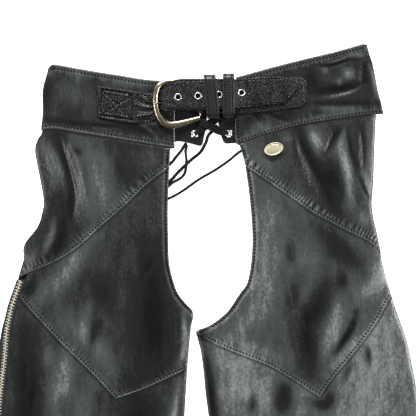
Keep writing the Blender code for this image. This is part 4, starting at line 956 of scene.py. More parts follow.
# %% [markdown]
# The yoke is the wide waistband. It is heavier leather, so it lies flat under the belt and rolls softly below
# it. Its lower edge is turned over the tops of the legs and stitched, which leaves a rounded ridge with a painted
# highlight along it.
# %% Front yokes
YOKE_LEATHER = 2.4
BACK_YOKE_LEATHER = 2.0
YOKE_BASE = BACK_YOKE_LEATHER + GAP
YOKE_TOP_ROW = 4.8
YOKE_BOTTOM_ROW = {"left": 5.2, "right": 3.4}
YOKE_CREASES = {
    "left": [
        ([(-181, 168), (-176, 150), (-180, 126), (-176, 104)], 5.0, -0.6),
        ([(-160, 160), (-152, 140), (-158, 118)], 4.0, 0.5),
        ([(-150, 104), (-130, 98), (-108, 97)], 3.4, -0.45),
        ([(-86, 100), (-70, 90), (-62, 80)], 3.4, 0.8),
        ([(-80, 103), (-64, 93), (-56, 78)], 2.6, -0.7),
        ([(-72, 104), (-58, 96), (-48, 80)], 2.4, 0.6),
        ([(-110, 156), (-96, 148), (-84, 152)], 4.0, -0.4),
        ([(-196, 120), (-188, 116), (-178, 118)], 3.0, -0.4),
    ],
    "right": [
        ([(147, 95), (155, 101), (172, 101), (184, 107)], 3.6, -1.2),
        ([(150, 103), (166, 108), (184, 113)], 4.2, 0.7),
        ([(52, 114), (62, 104), (74, 92)], 3.0, -0.8),
        ([(60, 116), (70, 106), (84, 97)], 2.8, 0.7),
        ([(70, 117), (82, 108), (97, 103)], 2.8, -0.6),
        ([(188, 176), (187, 160), (189, 146)], 6.0, -0.7),
        ([(122, 171.6), (146, 169.9), (165.6, 176.2), (177, 180), (193, 183)], 1.9, -0.45),
        ([(128, 175), (148, 173.4), (166, 179.4), (192, 186)], 2.2, 0.7),
        ([(138, 135), (154, 138), (173, 143), (184, 149)], 4.0, -1.3),
        ([(140, 146), (156, 149), (172, 154)], 6.0, 0.8),
        ([(130, 156), (142, 152), (150, 158)], 5.0, 0.5),
        ([(128, 180), (140, 168), (152, 160)], 4.0, -0.5),
        ([(112, 132), (128, 128), (146, 132)], 5.0, 0.5),
        ([(198, 140), (194, 128), (198, 116)], 3.4, 0.5),
        ([(118, 116), (132, 112), (146, 116)], 3.6, -0.4),
    ],
}


def yoke_inside(side, y):
    return read(CURVES[side]["yoke_end"], y)


def yoke_outside(side, y):
    return read(CURVES[side]["yoke_fold"], y)


def yoke_top(side, x, y):
    """Height of a front yoke's upper surface."""
    from_fold = np.abs(yoke_outside(side, y) - x)
    below = 1 - (ease(y, 92, 110) if side == "left" else ease(y, 100, 122))
    wave = 0.5 + 0.5 * np.sin(x / 21.0 + (0.6 if side == "left" else 2.1))
    z = YOKE_BASE + YOKE_LEATHER + 0.7 * below * wave * np.minimum(from_fold / 20, 1)
    phase = 1.9 if side == "left" else 4.4
    upper, up_along, _ = way_to(x, y, seam_line(side, "yoke_top"))
    lower, low_along, _ = way_to(x, y, seam_line(side, "yoke_bottom"))
    z = z - 0.8 * np.exp(-((upper / 0.7) ** 2))
    z = z - 0.18 * np.exp(-(((upper - YOKE_TOP_ROW) / 0.8) ** 2))
    z = z + 0.1 * gathers(up_along, 6.4, phase) * np.exp(-(((upper - 7.5) / 4.0) ** 2))
    hem = np.where(lower < 2.4, np.sqrt(np.clip(1 - (1 - lower / 2.4) ** 2, 0, 1)), 1.0)
    z = z + 0.5 * np.exp(-(((lower - 1.6) / 1.3) ** 2)) - 1.3 * (1 - hem)
    z = z - 0.2 * np.exp(-(((lower - YOKE_BOTTOM_ROW[side]) / 0.8) ** 2))
    z = z + 0.14 * gathers(low_along, 7.0, phase + 1) * np.exp(-(((lower - 8.5) / 4.5) ** 2))
    z = z - 0.5 * np.exp(-((from_fold / 1.6) ** 2))
    end = np.abs(x - yoke_inside(side, y))
    z = z - 0.7 * np.exp(-((end / 0.9) ** 2)) - 0.4 * np.exp(-(((end - 3.4) / 0.9) ** 2))
    clear = np.minimum(lower / 6, 1) * np.minimum(upper / 6, 1)
    return z + clear * (fold_height(x, y, YOKE_CREASES[side]) + light_row_relief(x, y, YOKE_PAINTED_LIGHT_ROWS[side]))


def yoke_grid(side, name, columns=146, rows=74):
    piece, s, t = lay_grid(name, columns, rows)
    x = yoke_inside(side, np.full(s.shape, 120.0))
    y = np.full(s.shape, 120.0)
    for _ in range(50):
        x = yoke_inside(side, y) + s * (yoke_outside(side, y) - yoke_inside(side, y))
        y = (1 - t) * read(CURVES[side]["yoke_top"], x) + t * read(CURVES[side]["yoke_bottom"], x)
    put(piece, place(x, y, yoke_top(side, x, y)))
    plan_uv(piece, x * MM, y * MM)
    upper, up_along, _ = way_to(x, y, seam_line(side, "yoke_top"))
    lower, low_along, _ = way_to(x, y, seam_line(side, "yoke_bottom"))
    # The yoke's tone is painted light: its rows of painted highlight and shade, a painted highlight below the top
    # stitch row and along the rolled lower ridge, painted shade at the top edge, and lighter and darker gather
    # ticks.
    painted_tone = painted_light_tone(x, y, YOKE_PAINTED_LIGHT_ROWS[side], YOKE_TONE[side])
    painted_tone = painted_tone + 0.3 * np.exp(-(((upper - 5.0) / 3.6) ** 2)) - 0.3 * np.exp(-((upper / 1.4) ** 2))
    painted_tone = painted_tone + 0.14 * gathers(up_along, 6.4, 0.0) * np.exp(-(((upper - 8.0) / 3.0) ** 2))
    painted_tone = painted_tone + 0.14 * np.exp(-(((lower - 1.2) / 1.2) ** 2)) + 0.24 * np.exp(-(((lower - 5.0) / 3.6) ** 2))
    painted_tone = painted_tone + 0.12 * gathers(low_along, 7.0, 1.0) * np.exp(-(((lower - 9.0) / 3.6) ** 2))
    give_tone(piece, painted_tone)
    face_up(piece)
    return piece


def front_yokes():
    for side in SIDES:
        piece = yoke_grid(side, f"{side}_front_yoke_leather")
        area = sheet_area(piece)
        give_wall(piece, 1.9)
        dress(piece, GARMENT)
        declare_leather(piece, f"{side}_front_yoke", area, (0.185, 0.115))


front_yokes()

# %% [markdown]
# The back of the garment lies flat on the table, face down. Its pieces are outlines and not four-sided fields,
# so each one starts as a grid as large as its outline, and the points outside are drawn in to the nearest place
# on the outline. Faces with no area left are then deleted.
# %% Back of the garment
BACK_YOKE = {
    "left": {
        "bottom": [(-36, 80.2), (-27.6, 79.2), (-18, 76.6)],
        "corner": [(-10.5, 74.6), (-8.0, 75.0), (-6.6, 77.0)],
        "end": [(-4.6, 86.0), (-2.6, 94.8), (-1.2, 110), (-1.0, 138)],
        "top": [(-6, 143), (-40, 149), (-100, 157)],
    },
    "right": {
        "bottom": [(60, 84.6), (36, 78.2)],
        "corner": [(23.5, 77.2), (20.4, 77.8), (18.4, 80.0)],
        "end": [(15.2, 88.1), (11.9, 105.0), (11.2, 138)],
        "top": [(16, 143), (50, 152), (110, 172)],
    },
}
TAB_EYELETS = {"left": (-16.3, 88.8), "right": (25.0, 89.8)}
EYELET_HOLE = 2.8
ZIP_END = -866.0
BACK_SLACK = 1.4


def back_inset(side, y):
    """How far the back leather stops short of the outer fold."""
    if side == "left" or y > PLAN[side]["zip_top"]:
        return 0.4
    return max(float(chain_at(side, y)) + ZIP_HALF + GAP + BACK_SLACK, 2.9)


def hip_line(side):
    return np.linspace(PLAN[side]["back_edge"][-1][0], float(outer_x(side, 95)), 6)


def back_leg_outline(side):
    plan, out = PLAN[side], PLAN[side]["out"]
    heights = [y for y in range(-150, int(HEM_Y), -25) if y < plan["crotch"]] + [HEM_Y]
    inside = [(float(inner_x(side, y)) + out * 0.4, y) for y in heights]
    top_y = float(read(CURVES[side]["yoke_bottom"], float(outer_x(side, 95)))) - 0.5
    levels = [top_y, 70, 50, 25, 5, -20, -40, -60, plan["zip_top"] + 1, plan["zip_top"] - 1]
    levels += list(range(-120, int(HEM_Y), -25)) + [HEM_Y]
    outside = [(float(outer_x(side, y)) - out * back_inset(side, y), y) for y in levels]
    top = [(x, float(read(CURVES[side]["yoke_bottom"], x)) - 0.5) for x in hip_line(side)[:-1]]
    return list(plan["back_edge"][:-1]) + top + outside + inside[::-1]


def back_yoke_outline(side):
    shape, fold, far = BACK_YOKE[side], PLAN[side]["yoke_fold"], PLAN[side]["out"]
    hip_end = PLAN[side]["back_edge"][-1][0]
    low_x = list(hip_line(side)[::-1]) + list(np.linspace(hip_end, far * 62.0, 5)[1:])
    bottom = [(fold[0][1], fold[0][0])] + [(x, float(read(CURVES[side]["yoke_bottom"], x))) for x in low_x]
    high_x = np.linspace(-130.0 if side == "left" else 140.0, fold[-1][1], 4)
    top = [(x, float(read(CURVES[side]["yoke_top"], x)) - 0.6) for x in high_x]
    heights = (150, 125) if side == "left" else (175, 150, 130)
    side_line = [(float(yoke_outside(side, y)) - far * 0.4, y) for y in heights]
    return bottom + shape["bottom"] + shape["corner"] + shape["end"] + shape["top"] + top + side_line


def inside_outline(x, y, outline):
    """Which points an outline holds, by counting how often a line to their right crosses it."""
    held = np.zeros(x.shape, bool)
    for (ax, ay), (bx, by) in zip(outline, outline[1:] + outline[:1]):
        if ay != by:
            crosses = (ay > y) != (by > y)
            held ^= crosses & (x < ax + (y - ay) * (bx - ax) / (by - ay))
    return held


def draw_to_outline(x, y, outline):
    """The nearest place on an outline to each point."""
    best = np.full(x.shape, 1e9)
    near_x, near_y = x.copy(), y.copy()
    for (ax, ay), (bx, by) in zip(outline, outline[1:] + outline[:1]):
        length = max((bx - ax) ** 2 + (by - ay) ** 2, 1e-9)
        t = np.clip(((x - ax) * (bx - ax) + (y - ay) * (by - ay)) / length, 0, 1)
        px, py = ax + t * (bx - ax), ay + t * (by - ay)
        away = np.hypot(x - px, y - py)
        near = away < best
        best, near_x, near_y = np.where(near, away, best), np.where(near, px, near_x), np.where(near, py, near_y)
    return near_x, near_y, best


def cut_piece(name, outline, cell, hole=None):
    """A flat grid trimmed to an outline, with an optional round hole (x, y, radius)."""
    xs, ys = [p[0] for p in outline], [p[1] for p in outline]
    low_x, low_y = min(xs) - cell, min(ys) - cell
    wide, tall = max(xs) + cell - low_x, max(ys) + cell - low_y
    columns, rows = round(wide / cell), round(tall / cell)
    piece, s, t = lay_grid(name, columns, rows)
    x, y = low_x + s * wide, low_y + (1 - t) * tall
    held = inside_outline(x, y, outline)
    near_x, near_y, away = draw_to_outline(x, y, outline)
    snap = ~held | (away < 0.35 * cell)
    far_out = ~held & (away > 1.45 * cell)
    x, y = np.where(snap, near_x, x), np.where(snap, near_y, y)
    if hole:
        from_hole = np.hypot(x - hole[0], y - hole[1])
        in_hole = from_hole < hole[2] * 0.98
        close = (from_hole < hole[2] + 0.5 * cell) & ~in_hole
        pull = np.where(close, hole[2] / np.maximum(from_hole, 1e-6), 1.0)
        x, y = hole[0] + (x - hole[0]) * pull, hole[1] + (y - hole[1]) * pull
        far_out |= in_hole
    put(piece, place(x, y, np.zeros(x.shape)))
    pick(piece)
    bpy.ops.object.mode_set(mode="EDIT")
    bpy.ops.mesh.select_all(action="DESELECT")
    bpy.ops.object.mode_set(mode="OBJECT")
    piece.data.vertices.foreach_set("select", far_out)
    bpy.ops.object.mode_set(mode="EDIT")
    bpy.ops.mesh.delete(type="VERT")
    bpy.ops.mesh.select_all(action="SELECT")
    bpy.ops.mesh.remove_doubles(threshold=0.0002)
    bpy.ops.mesh.dissolve_degenerate(threshold=0.0002)
    bpy.ops.mesh.select_all(action="SELECT")
    bpy.ops.mesh.quads_convert_to_tris()
    bpy.ops.object.mode_set(mode="OBJECT")
    drop_slivers(piece)
    return piece


def drop_slivers(piece):
    """Deletes faces with no area and the loose points that they leave."""
    pick(piece)
    thin = [face.area < 1e-9 for face in piece.data.polygons]
    bpy.ops.object.mode_set(mode="EDIT")
    bpy.ops.mesh.select_mode(type="FACE")
    bpy.ops.mesh.select_all(action="DESELECT")
    bpy.ops.object.mode_set(mode="OBJECT")
    piece.data.polygons.foreach_set("select", thin)
    bpy.ops.object.mode_set(mode="EDIT")
    bpy.ops.mesh.delete(type="FACE")
    bpy.ops.mesh.select_mode(type="VERT")
    bpy.ops.mesh.select_all(action="SELECT")
    bpy.ops.mesh.delete_loose(use_verts=True, use_edges=True, use_faces=False)
    bpy.ops.object.mode_set(mode="OBJECT")


def plan_of(piece):
    """Plan millimetres of every point of a piece."""
    points = np.zeros(len(piece.data.vertices) * 3)
    piece.data.vertices.foreach_get("co", points)
    points = points.reshape(-1, 3)
    return (points[:, 0] - PLAN_ORIGIN.x) / MM, (points[:, 1] - PLAN_ORIGIN.y) / MM, points[:, 2] / MM


def lift(piece, heights):
    x, y, _ = plan_of(piece)
    put(piece, place(x, y, heights))


def back_top(x, y, outline, thick, rows):
    """Upper side of a hidden flat piece: rounded at its edge, with a sunk line for each stitch row inside it."""
    _, _, away = draw_to_outline(x, y, outline)
    z = np.full(x.shape, thick) - 0.45 * np.exp(-((away / 0.9) ** 2))
    for row in rows:
        z = z - 0.35 * np.exp(-(((away - row) / 0.9) ** 2))
    return z


def back_pieces():
    for side in SIDES:
        outline = back_leg_outline(side)
        leg = cut_piece(f"{side}_back_leather", outline, 6.0)
        area = sheet_area(leg)
        x, y, _ = plan_of(leg)
        plan_uv(leg, x * MM, y * MM)
        lift(leg, np.full(x.shape, BACK_LEATHER))
        # The back legs get the same rows of painted highlight and shade, at a lower level.
        give_tone(leg, painted_light_tone(x, y, PAINTED_LIGHT_ROWS[side], LEG_TONE[side]["back"]))
        face_up(leg)
        give_wall(leg, BACK_LEATHER)
        dress(leg, GARMENT)
        declare_leather(leg, f"{side}_back_panel", area, (0.26, 1.0))
        outline = back_yoke_outline(side)
        eyelet_x, eyelet_y = TAB_EYELETS[side]
        yoke = cut_piece(f"{side}_back_yoke_leather", outline, 1.6, (eyelet_x, eyelet_y, EYELET_HOLE + 0.4))
        area = sheet_area(yoke)
        x, y, _ = plan_of(yoke)
        plan_uv(yoke, x * MM, y * MM)
        lift(yoke, back_top(x, y, outline, BACK_YOKE_LEATHER, (2.6, 4.6)))
        give_tone(yoke, np.full(x.shape, 0.7 * PLAIN_TONE))
        face_up(yoke)
        give_wall(yoke, BACK_YOKE_LEATHER - 0.5)
        dress(yoke, GARMENT)
        declare_leather(yoke, f"{side}_back_yoke", area, (0.215, 0.125))


back_pieces()

# %% [markdown]
# A belt strap is a thick band whose edges are worn round. It climbs from the yoke up onto the buckle, so its
# shape is a row of stations: place, upper and lower edge and height. Creases fan out where it bends. The holes
# are made by drawing the nearest points onto a circle and deleting those inside it.
# %% Belt strap
STRAP_LEATHER = 2.5
BELT_STATIONS = [
    (-132.0, 146.5, 108.7, 5.0), (-114, 144.0, 104.3, 5.0), (-90, 140.5, 100.9, 5.0),
    (-74.4, 137.2, 102.7, 5.0), (-66.5, 137.5, 104.6, 5.1), (-62.4, 137.7, 107.8, 5.6),
    (-60, 138.2, 114.0, 6.4), (-57.6, 139.6, 118.4, 8.0), (-55.2, 142.2, 117.6, 10.0),
    (-51.6, 146.0, 115.8, 11.6), (-46, 149.8, 115.2, 12.3), (-36, 154.2, 116.4, 12.3),
    (-20, 154.6, 116.5, 12.3), (-3.6, 154.8, 116.6, 12.3), (7, 154.8, 117.4, 11.9), (17, 154.7, 118.2, 11.0),
    (28, 154.5, 119.0, 10.4), (36, 154.5, 119.4, 8.9), (45, 155.2, 120.4, 7.9), (60, 156.5, 121.8, 7.6),
    (75, 157.0, 123.2, 7.6), (89, 157.3, 124.6, 7.6), (100, 151.6, 135.0, 7.6), (108, 147.4, 145.2, 7.6),
]
STRAP_EYELETS = [
    (-35.9, 132.6, 14.8, 0.0), (-12.0, 133.9, 14.8, 0.0), (13.2, 135.6, 13.9, -0.09),
    (40.1, 138.0, 11.05, -0.11),
]
PRONG_HOLE = (-57.4, 125.7, 3.5)
BELT_ROW = 2.2
BOX_CORNERS = [(-127.4, 142.0), (-90.6, 136.0), (-90.6, 105.4), (-128.4, 111.2)]
BELT_CREASES = [
    ([(-84, 137), (-77, 131), (-70, 126)], 1.5, 0.7),
    ([(-88, 132), (-78, 126), (-68, 123)], 1.4, -0.6),
    ([(-87, 124), (-76, 121), (-66, 120)], 1.6, 0.7),
    ([(-88, 117), (-77, 116), (-66, 117)], 1.4, -0.6),
    ([(-86, 109), (-76, 111), (-67, 113)], 1.5, 0.6),
    ([(-82, 104), (-74, 106), (-67, 109)], 1.3, -0.5),
    ([(44, 152), (47, 138), (45, 124)], 2.2, -0.35),
    ([(62, 154), (60, 140), (63, 126)], 3.0, 0.25),
]


def by_station(stations, share):
    """Each column of a table of stations, read smoothly at shares of the way along it."""
    places = np.linspace(0, 1, len(stations))
    columns = np.array(stations, float)
    return [read(dense(list(zip(places, columns[:, k]))), share) for k in range(columns.shape[1])]


def punch(x, y, holes, cell):
    """Draws points onto the rims of round holes and tells which points are inside them."""
    inside = np.zeros(x.shape, bool)
    for hole_x, hole_y, radius in holes:
        away = np.hypot(x - hole_x, y - hole_y)
        inside |= away < radius * 0.97
        close = (away >= radius * 0.97) & (away < radius + 0.6 * cell)
        x = np.where(close, hole_x + (x - hole_x) * radius / np.maximum(away, 1e-6), x)
        y = np.where(close, hole_y + (y - hole_y) * radius / np.maximum(away, 1e-6), y)
    return x, y, inside


def delete_points(piece, flags):
    pick(piece)
    bpy.ops.object.mode_set(mode="EDIT")
    bpy.ops.mesh.select_mode(type="VERT")
    bpy.ops.mesh.select_all(action="DESELECT")
    bpy.ops.object.mode_set(mode="OBJECT")
    piece.data.vertices.foreach_set("select", flags)
    bpy.ops.object.mode_set(mode="EDIT")
    bpy.ops.mesh.delete(type="VERT")
    bpy.ops.object.mode_set(mode="OBJECT")


def strap_relief(x, y, edge, z):
    """Rounded edge, stitched row and box with its cross."""
    z = z - 0.7 * (1 - np.sqrt(np.clip(1 - (1 - np.minimum(edge / 1.2, 1)) ** 2, 0, 1)))
    z = z - 0.4 * np.exp(-(((edge - BELT_ROW) / 0.7) ** 2))
    for line in box_lines():
        away, _, _ = way_to(x, y, np.array(line, float))
        z = z - 0.8 * np.exp(-((away / 0.9) ** 2)) + 0.3 * np.exp(-(((away - 2.4) / 1.0) ** 2))
    return z + fold_height(x, y, BELT_CREASES)


def box_lines():
    a, b, c, d = BOX_CORNERS
    return [(a, b), (b, c), (c, d), (d, a), (a, c), (b, d)]


def belt_top(x, y):
    """Height of the belt strap's upper side at plan points."""
    table = np.array(BELT_STATIONS, float)
    share = read(dense(list(zip(table[:, 0], np.linspace(0, 1, len(table))))), x)
    _, top, bottom, low = by_station(BELT_STATIONS, share)
    edge = np.minimum(np.minimum(top - y, y - bottom), np.minimum(x - table[0, 0], 108.6 - x))
    return strap_relief(x, y, np.maximum(edge, 0), low + STRAP_LEATHER)


def belt_strap():
    columns, rows = 250, 48
    piece, s, t = lay_grid("belt_strap_leather", columns, rows)
    x, top, bottom, _ = by_station(BELT_STATIONS, s)
    y = (1 - t) * top + t * bottom
    holes = [(a, b, EYELET_HOLE + 0.35) for a, b, _, _ in STRAP_EYELETS] + [PRONG_HOLE]
    x, y, inside = punch(x, y, holes, 1.1)
    put(piece, place(x, y, belt_top(x, y)))
    plan_uv(piece, x * MM, y * MM)
    delete_points(piece, inside)
    face_up(piece)
    area = sheet_area(piece)
    give_wall(piece, STRAP_LEATHER - 0.3)
    dress(piece, BELT)
    declare_leather(piece, "belt_strap", area, (0.265, 0.038))


belt_strap()

# %% [markdown]
# The other strap is sewn to the right half. It comes in under the first, turns round the buckle's bar and goes
# back over itself, with a slot at the turn that the prong comes through. A grid follows that loop seen from the
# side, and two of its lines are set on the slot's edges so that the slot can be deleted cleanly.
# %% Buckle strap
UNDER_STRAP_LEATHER = 2.2
BAR_X, BAR_Z, BAR_RADIUS = -9.2, 7.9, 1.6
LOOP_RADIUS = BAR_RADIUS + GAP + UNDER_STRAP_LEATHER / 2
SLOT = {"low": 125.6, "high": 132.0, "end": BAR_X + 6.0}
UNDER_STRAP_LOWER = [
    (118, 6.1), (108, 6.1), (84, 6.1), (58, 6.1), (38, 6.1), (29, 5.9), (17, 5.6), (6, 5.4), (-2, 5.1),
    (-6, 4.95),
]
UNDER_STRAP_UPPER = [(-5, 10.8), (0, 10.4), (8, 9.6), (17, 8.9), (27, 8.6)]


def under_ends(x):
    narrow = ease(x, -4, 34)
    top = 149.4 + narrow * 3.4 + 4.0 * ease(x, 36, 118)
    bottom = 113.8 - narrow * 0.5 + 7.6 * ease(x, 36, 118)
    corner = np.maximum(0, x - 108) / 10
    return top - 5.0 * corner**2, bottom + 7.0 * corner**2


def loop_route():
    turn = [-math.pi / 2 - math.pi * k / 12 for k in range(13)]
    loop = [(BAR_X + LOOP_RADIUS * math.cos(a), BAR_Z + LOOP_RADIUS * math.sin(a)) for a in turn]
    return np.array(UNDER_STRAP_LOWER + loop + UNDER_STRAP_UPPER, float)


def buckle_strap():
    route = loop_route()
    lengths = np.append(0, np.cumsum(np.hypot(*np.diff(route, axis=0).T)))
    columns = round(lengths[-1] / 1.3)
    across = list(np.linspace(0, 0.43, 12)) + [0.51] + list(np.linspace(0.59, 1, 13)[0:])
    rows = len(across) - 1
    piece, s, t = lay_grid("buckle_strap_leather", columns, rows)
    at = s * lengths[-1]
    x, z = np.interp(at, lengths, route[:, 0]), np.interp(at, lengths, route[:, 1])
    top, bottom = under_ends(x)
    share = np.array(across)[np.rint(t * rows).astype(int)]
    y = top - share * (top - bottom)
    in_slot_rows = (share > 0.42) & (share < 0.60)
    near = x < SLOT["end"] + 2
    slot_y = np.where(share < 0.47, SLOT["high"], np.where(share > 0.55, SLOT["low"], 128.8))
    y = np.where(in_slot_rows & near, slot_y, y)
    slope_x, slope_z = np.interp(at + 0.3, lengths, route[:, 0]) - x, np.interp(at + 0.3, lengths, route[:, 1]) - z
    size = np.maximum(np.hypot(slope_x, slope_z), 1e-6)
    out_x, out_z = -slope_z / size, slope_x / size
    flip = np.where(at < lengths[len(UNDER_STRAP_LOWER)], -1, 1)
    edge = np.minimum(np.minimum(top - y, y - bottom), np.minimum(at + 0.2, lengths[-1] - at + 0.2))
    rise = UNDER_STRAP_LEATHER / 2 - 0.5 * (1 - np.sqrt(np.clip(1 - (1 - np.minimum(edge / 1.3, 1)) ** 2, 0, 1)))
    rise = rise - 0.35 * np.exp(-(((edge - 2.6) / 0.7) ** 2))
    first_leg = at < lengths[len(UNDER_STRAP_LOWER) - 1]
    side = np.where(first_leg, 1.0, -1.0)
    x_out = np.where(first_leg, 0.0, side * out_x * -1)
    z_out = np.where(first_leg, 1.0, out_z)
    del flip, side
    put(piece, place(x + 0 * x_out, y, z + np.where(first_leg, rise - UNDER_STRAP_LEATHER / 2, 0)))
    plan_uv(piece, at * MM, y * MM)
    slot = (share > 0.48) & (share < 0.54) & (x < SLOT["end"])
    delete_points(piece, slot)
    area = sheet_area(piece)
    tidy_faces(piece)
    give_wall(piece, UNDER_STRAP_LEATHER - 0.3, offset=0.0)
    dress(piece, BELT)
    declare_leather(piece, "buckle_strap", area, (0.17, 0.038))
    print("z turned outwards at", round(float(z_out.max()), 2))


buckle_strap()

# %% [markdown]
# A keeper is a closed loop of smooth leather that holds both straps down. Seen along the belt it is two half
# rounds joined by two straights. The grid's last row meets its first one, and merging doubled points closes it.
# %% Keepers
KEEPER_LEATHER = 1.3
KEEPERS = {
    "keeper_1": (1.6, 6.6, 160.0, 106.8, 2.4, 17.0, 14.4),
    "keeper_2": (24.6, 24.8, 161.4, 107.4, 2.4, 16.0, 13.4),
}
KEEPER_ROW = 2.6


def keeper_ring(name):
    _, _, top, bottom, low, high, _ = KEEPERS[name]
    half = (high - low) / 2 - KEEPER_LEATHER / 2
    middle = (high + low) / 2
    upper, lower = top - half - KEEPER_LEATHER / 2, bottom + half + KEEPER_LEATHER / 2
    ring = []
    for centre, first in ((upper, 0.0), (lower, math.pi)):
        for k in range(13):
            angle = first + math.pi * k / 12
            ring.append((centre + half * math.sin(angle), middle + half * math.cos(angle)))
    return np.array(ring + ring[:1], float)


def keeper_place(name, across, share):
    """A point on a keeper: across from -1 to 1, and a share of the way round, with which way it faces."""
    x_top, x_bottom, top, bottom, _, _, width = KEEPERS[name]
    ring = keeper_ring(name)
    lengths = np.append(0, np.cumsum(np.hypot(*np.diff(ring, axis=0).T)))
    at = (share % 1.0) * lengths[-1]
    y, z = np.interp(at, lengths, ring[:, 0]), np.interp(at, lengths, ring[:, 1])
    after = ((at + 0.5) % lengths[-1])
    turn_y, turn_z = np.interp(after, lengths, ring[:, 0]) - y, np.interp(after, lengths, ring[:, 1]) - z
    size = np.maximum(np.hypot(turn_y, turn_z), 1e-6)
    face_y, face_z = turn_z / size, -turn_y / size
    centre = x_bottom + (y - bottom) / (top - bottom) * (x_top - x_bottom)
    edge = (1 - np.abs(across)) * width / 2
    sink = -0.35 * np.exp(-(((edge - KEEPER_ROW) / 0.6) ** 2)) - 0.25 * np.exp(-((edge / 0.7) ** 2))
    crown = 0.35 * (1 - across**2)
    rise = (sink + crown) * -1
    return centre + across * width / 2, y + face_y * rise, z + face_z * rise, lengths[-1]


def keeper(name):
    piece, s, t = lay_grid(f"{name}_leather", 20, 110)
    x, y, z, around = keeper_place(name, 2 * s - 1, np.where(t >= 1, 0.0, t))
    put(piece, place(x, y, z))
    plan_uv(piece, x * MM, t * around * MM)
    area = sheet_area(piece)
    tidy_faces(piece)
    give_wall(piece, KEEPER_LEATHER - 0.2, offset=0.0)
    dress(piece, KEEPER)
    declare_leather(piece, name, area, (KEEPERS[name][6] * MM, around * MM))


for name in KEEPERS:
    keeper(name)

# %% [markdown]
# The buckle's frame is cast metal of a changing oval section. A grid is wrapped into a tube along its stations:
# the columns go round the section, the rows along the frame, and the two ends are filled. The same helper makes
# the rings and the plate, whose profile turns about an upright line instead.
# %% Buckle frame
BUCKLE_STATIONS = [
    (-10.0, 152.4, 1.8, 7.9, 1.8), (-24, 152.3, 1.9, 8.3, 1.8), (-36, 152.2, 2.0, 9.0, 1.8),
    (-44.5, 152.0, 2.3, 9.6, 1.8), (-52.4, 150.6, 2.7, 10.5, 1.9), (-57.8, 147.3, 2.9, 11.2, 2.0),
    (-60.6, 143.2, 3.0, 11.5, 2.1), (-62.4, 137.0, 3.0, 11.5, 2.1), (-63.0, 130.0, 3.0, 11.5, 2.1),
    (-62.4, 122.0, 3.1, 11.5, 2.1), (-60.6, 114.0, 3.2, 11.7, 2.1), (-57.0, 107.0, 3.8, 11.6, 2.1),
    (-52.2, 101.6, 4.2, 11.1, 2.1), (-45.6, 99.4, 4.4, 10.6, 2.1), (-38.0, 99.9, 4.2, 10.0, 2.0),
    (-29.0, 102.2, 3.6, 9.2, 1.9), (-19.0, 105.1, 2.9, 8.4, 1.8), (-9.4, 108.0, 2.4, 7.9, 1.8),
]


def close_ends(piece):
    """Merges the seam of a wrapped grid and fills what is still open."""
    pick(piece)
    bpy.ops.object.mode_set(mode="EDIT")
    bpy.ops.mesh.select_all(action="SELECT")
    bpy.ops.mesh.remove_doubles(threshold=0.00001)
    bpy.ops.mesh.select_all(action="DESELECT")
    bpy.ops.mesh.select_non_manifold(extend=False)
    bpy.ops.mesh.fill_holes(sides=0)
    bpy.ops.mesh.select_all(action="SELECT")
    bpy.ops.mesh.normals_make_consistent(inside=False)
    bpy.ops.object.mode_set(mode="OBJECT")
    bpy.ops.object.shade_smooth_by_angle(angle=math.radians(50))


def wrapped(name, around, along, shape):
    """A piece whose surface is given by shape(share round, share along) in plan millimetres."""
    piece, s, t = lay_grid(name, around, along)
    put(piece, place(*shape(np.where(s >= 1, 0.0, s), t)))
    close_ends(piece)
    return piece


def show_metal(piece, node, material, body="garment"):
    dress(piece, material)
    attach(piece, body)
    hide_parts(node)
    print(f"{piece.name}: {len(piece.data.polygons)} faces")


def frame_surface(s, t):
    x, y, half, z, high = by_station(BUCKLE_STATIONS, t)
    ahead = by_station(BUCKLE_STATIONS, np.clip(t + 0.004, 0, 1))
    behind = by_station(BUCKLE_STATIONS, np.clip(t - 0.004, 0, 1))
    along_x, along_y = ahead[0] - behind[0], ahead[1] - behind[1]
    size = np.hypot(along_x, along_y)
    angle = 2 * math.pi * s
    wide = np.sign(np.cos(angle)) * np.abs(np.cos(angle)) ** 0.85 * half
    tall = np.sign(np.sin(angle)) * np.abs(np.sin(angle)) ** 0.85 * high
    return x - along_y / size * wide, y + along_x / size * wide, z + tall


show_metal(wrapped("buckle_frame_metal", 28, 220, frame_surface), "buckle_frame", BUCKLE)

# %% [markdown]
# The bar is a plain rod, the prong a bent one with a tapered tip. Both are rods of changing radius along a
# smooth route, so one more shape serves them and the round laces below get the same route helper.
# %% Bar and prong
PRONG_STATIONS = [
    (-12.0, 128.9, 11.4), (-20, 128.3, 11.0), (-30, 127.6, 10.2), (-40, 126.8, 9.5), (-48, 126.3, 9.0),
    (-52, 126.0, 8.9), (-54.5, 125.8, 9.3), (-57, 125.6, 11.2), (-59, 125.5, 13.0), (-61, 125.4, 14.7),
    (-62.8, 125.3, 15.1),
]
PRONG_RADIUS = 1.1


def even_route(route, step):
    """Points at an even step along a smooth curve through the route's points."""
    route = [np.array(point, float) for point in route]
    fine = []
    for k in range(len(route) - 1):
        p0, p1 = route[max(k - 1, 0)], route[k]
        p2, p3 = route[k + 1], route[min(k + 2, len(route) - 1)]
        for n in range(12):
            t = n / 12
            fine.append(0.5 * (2 * p1 + (p2 - p0) * t + (2 * p0 - 5 * p1 + 4 * p2 - p3) * t**2
                               + (3 * p1 - p0 - 3 * p2 + p3) * t**3))
    fine = np.array(fine + [route[-1]])
    lengths = np.append(0, np.cumsum(np.linalg.norm(np.diff(fine, axis=0), axis=1)))
    targets = np.linspace(0, lengths[-1], max(2, round(lengths[-1] / step)) + 1)
    return np.stack([np.interp(targets, lengths, fine[:, k]) for k in range(3)], axis=1)


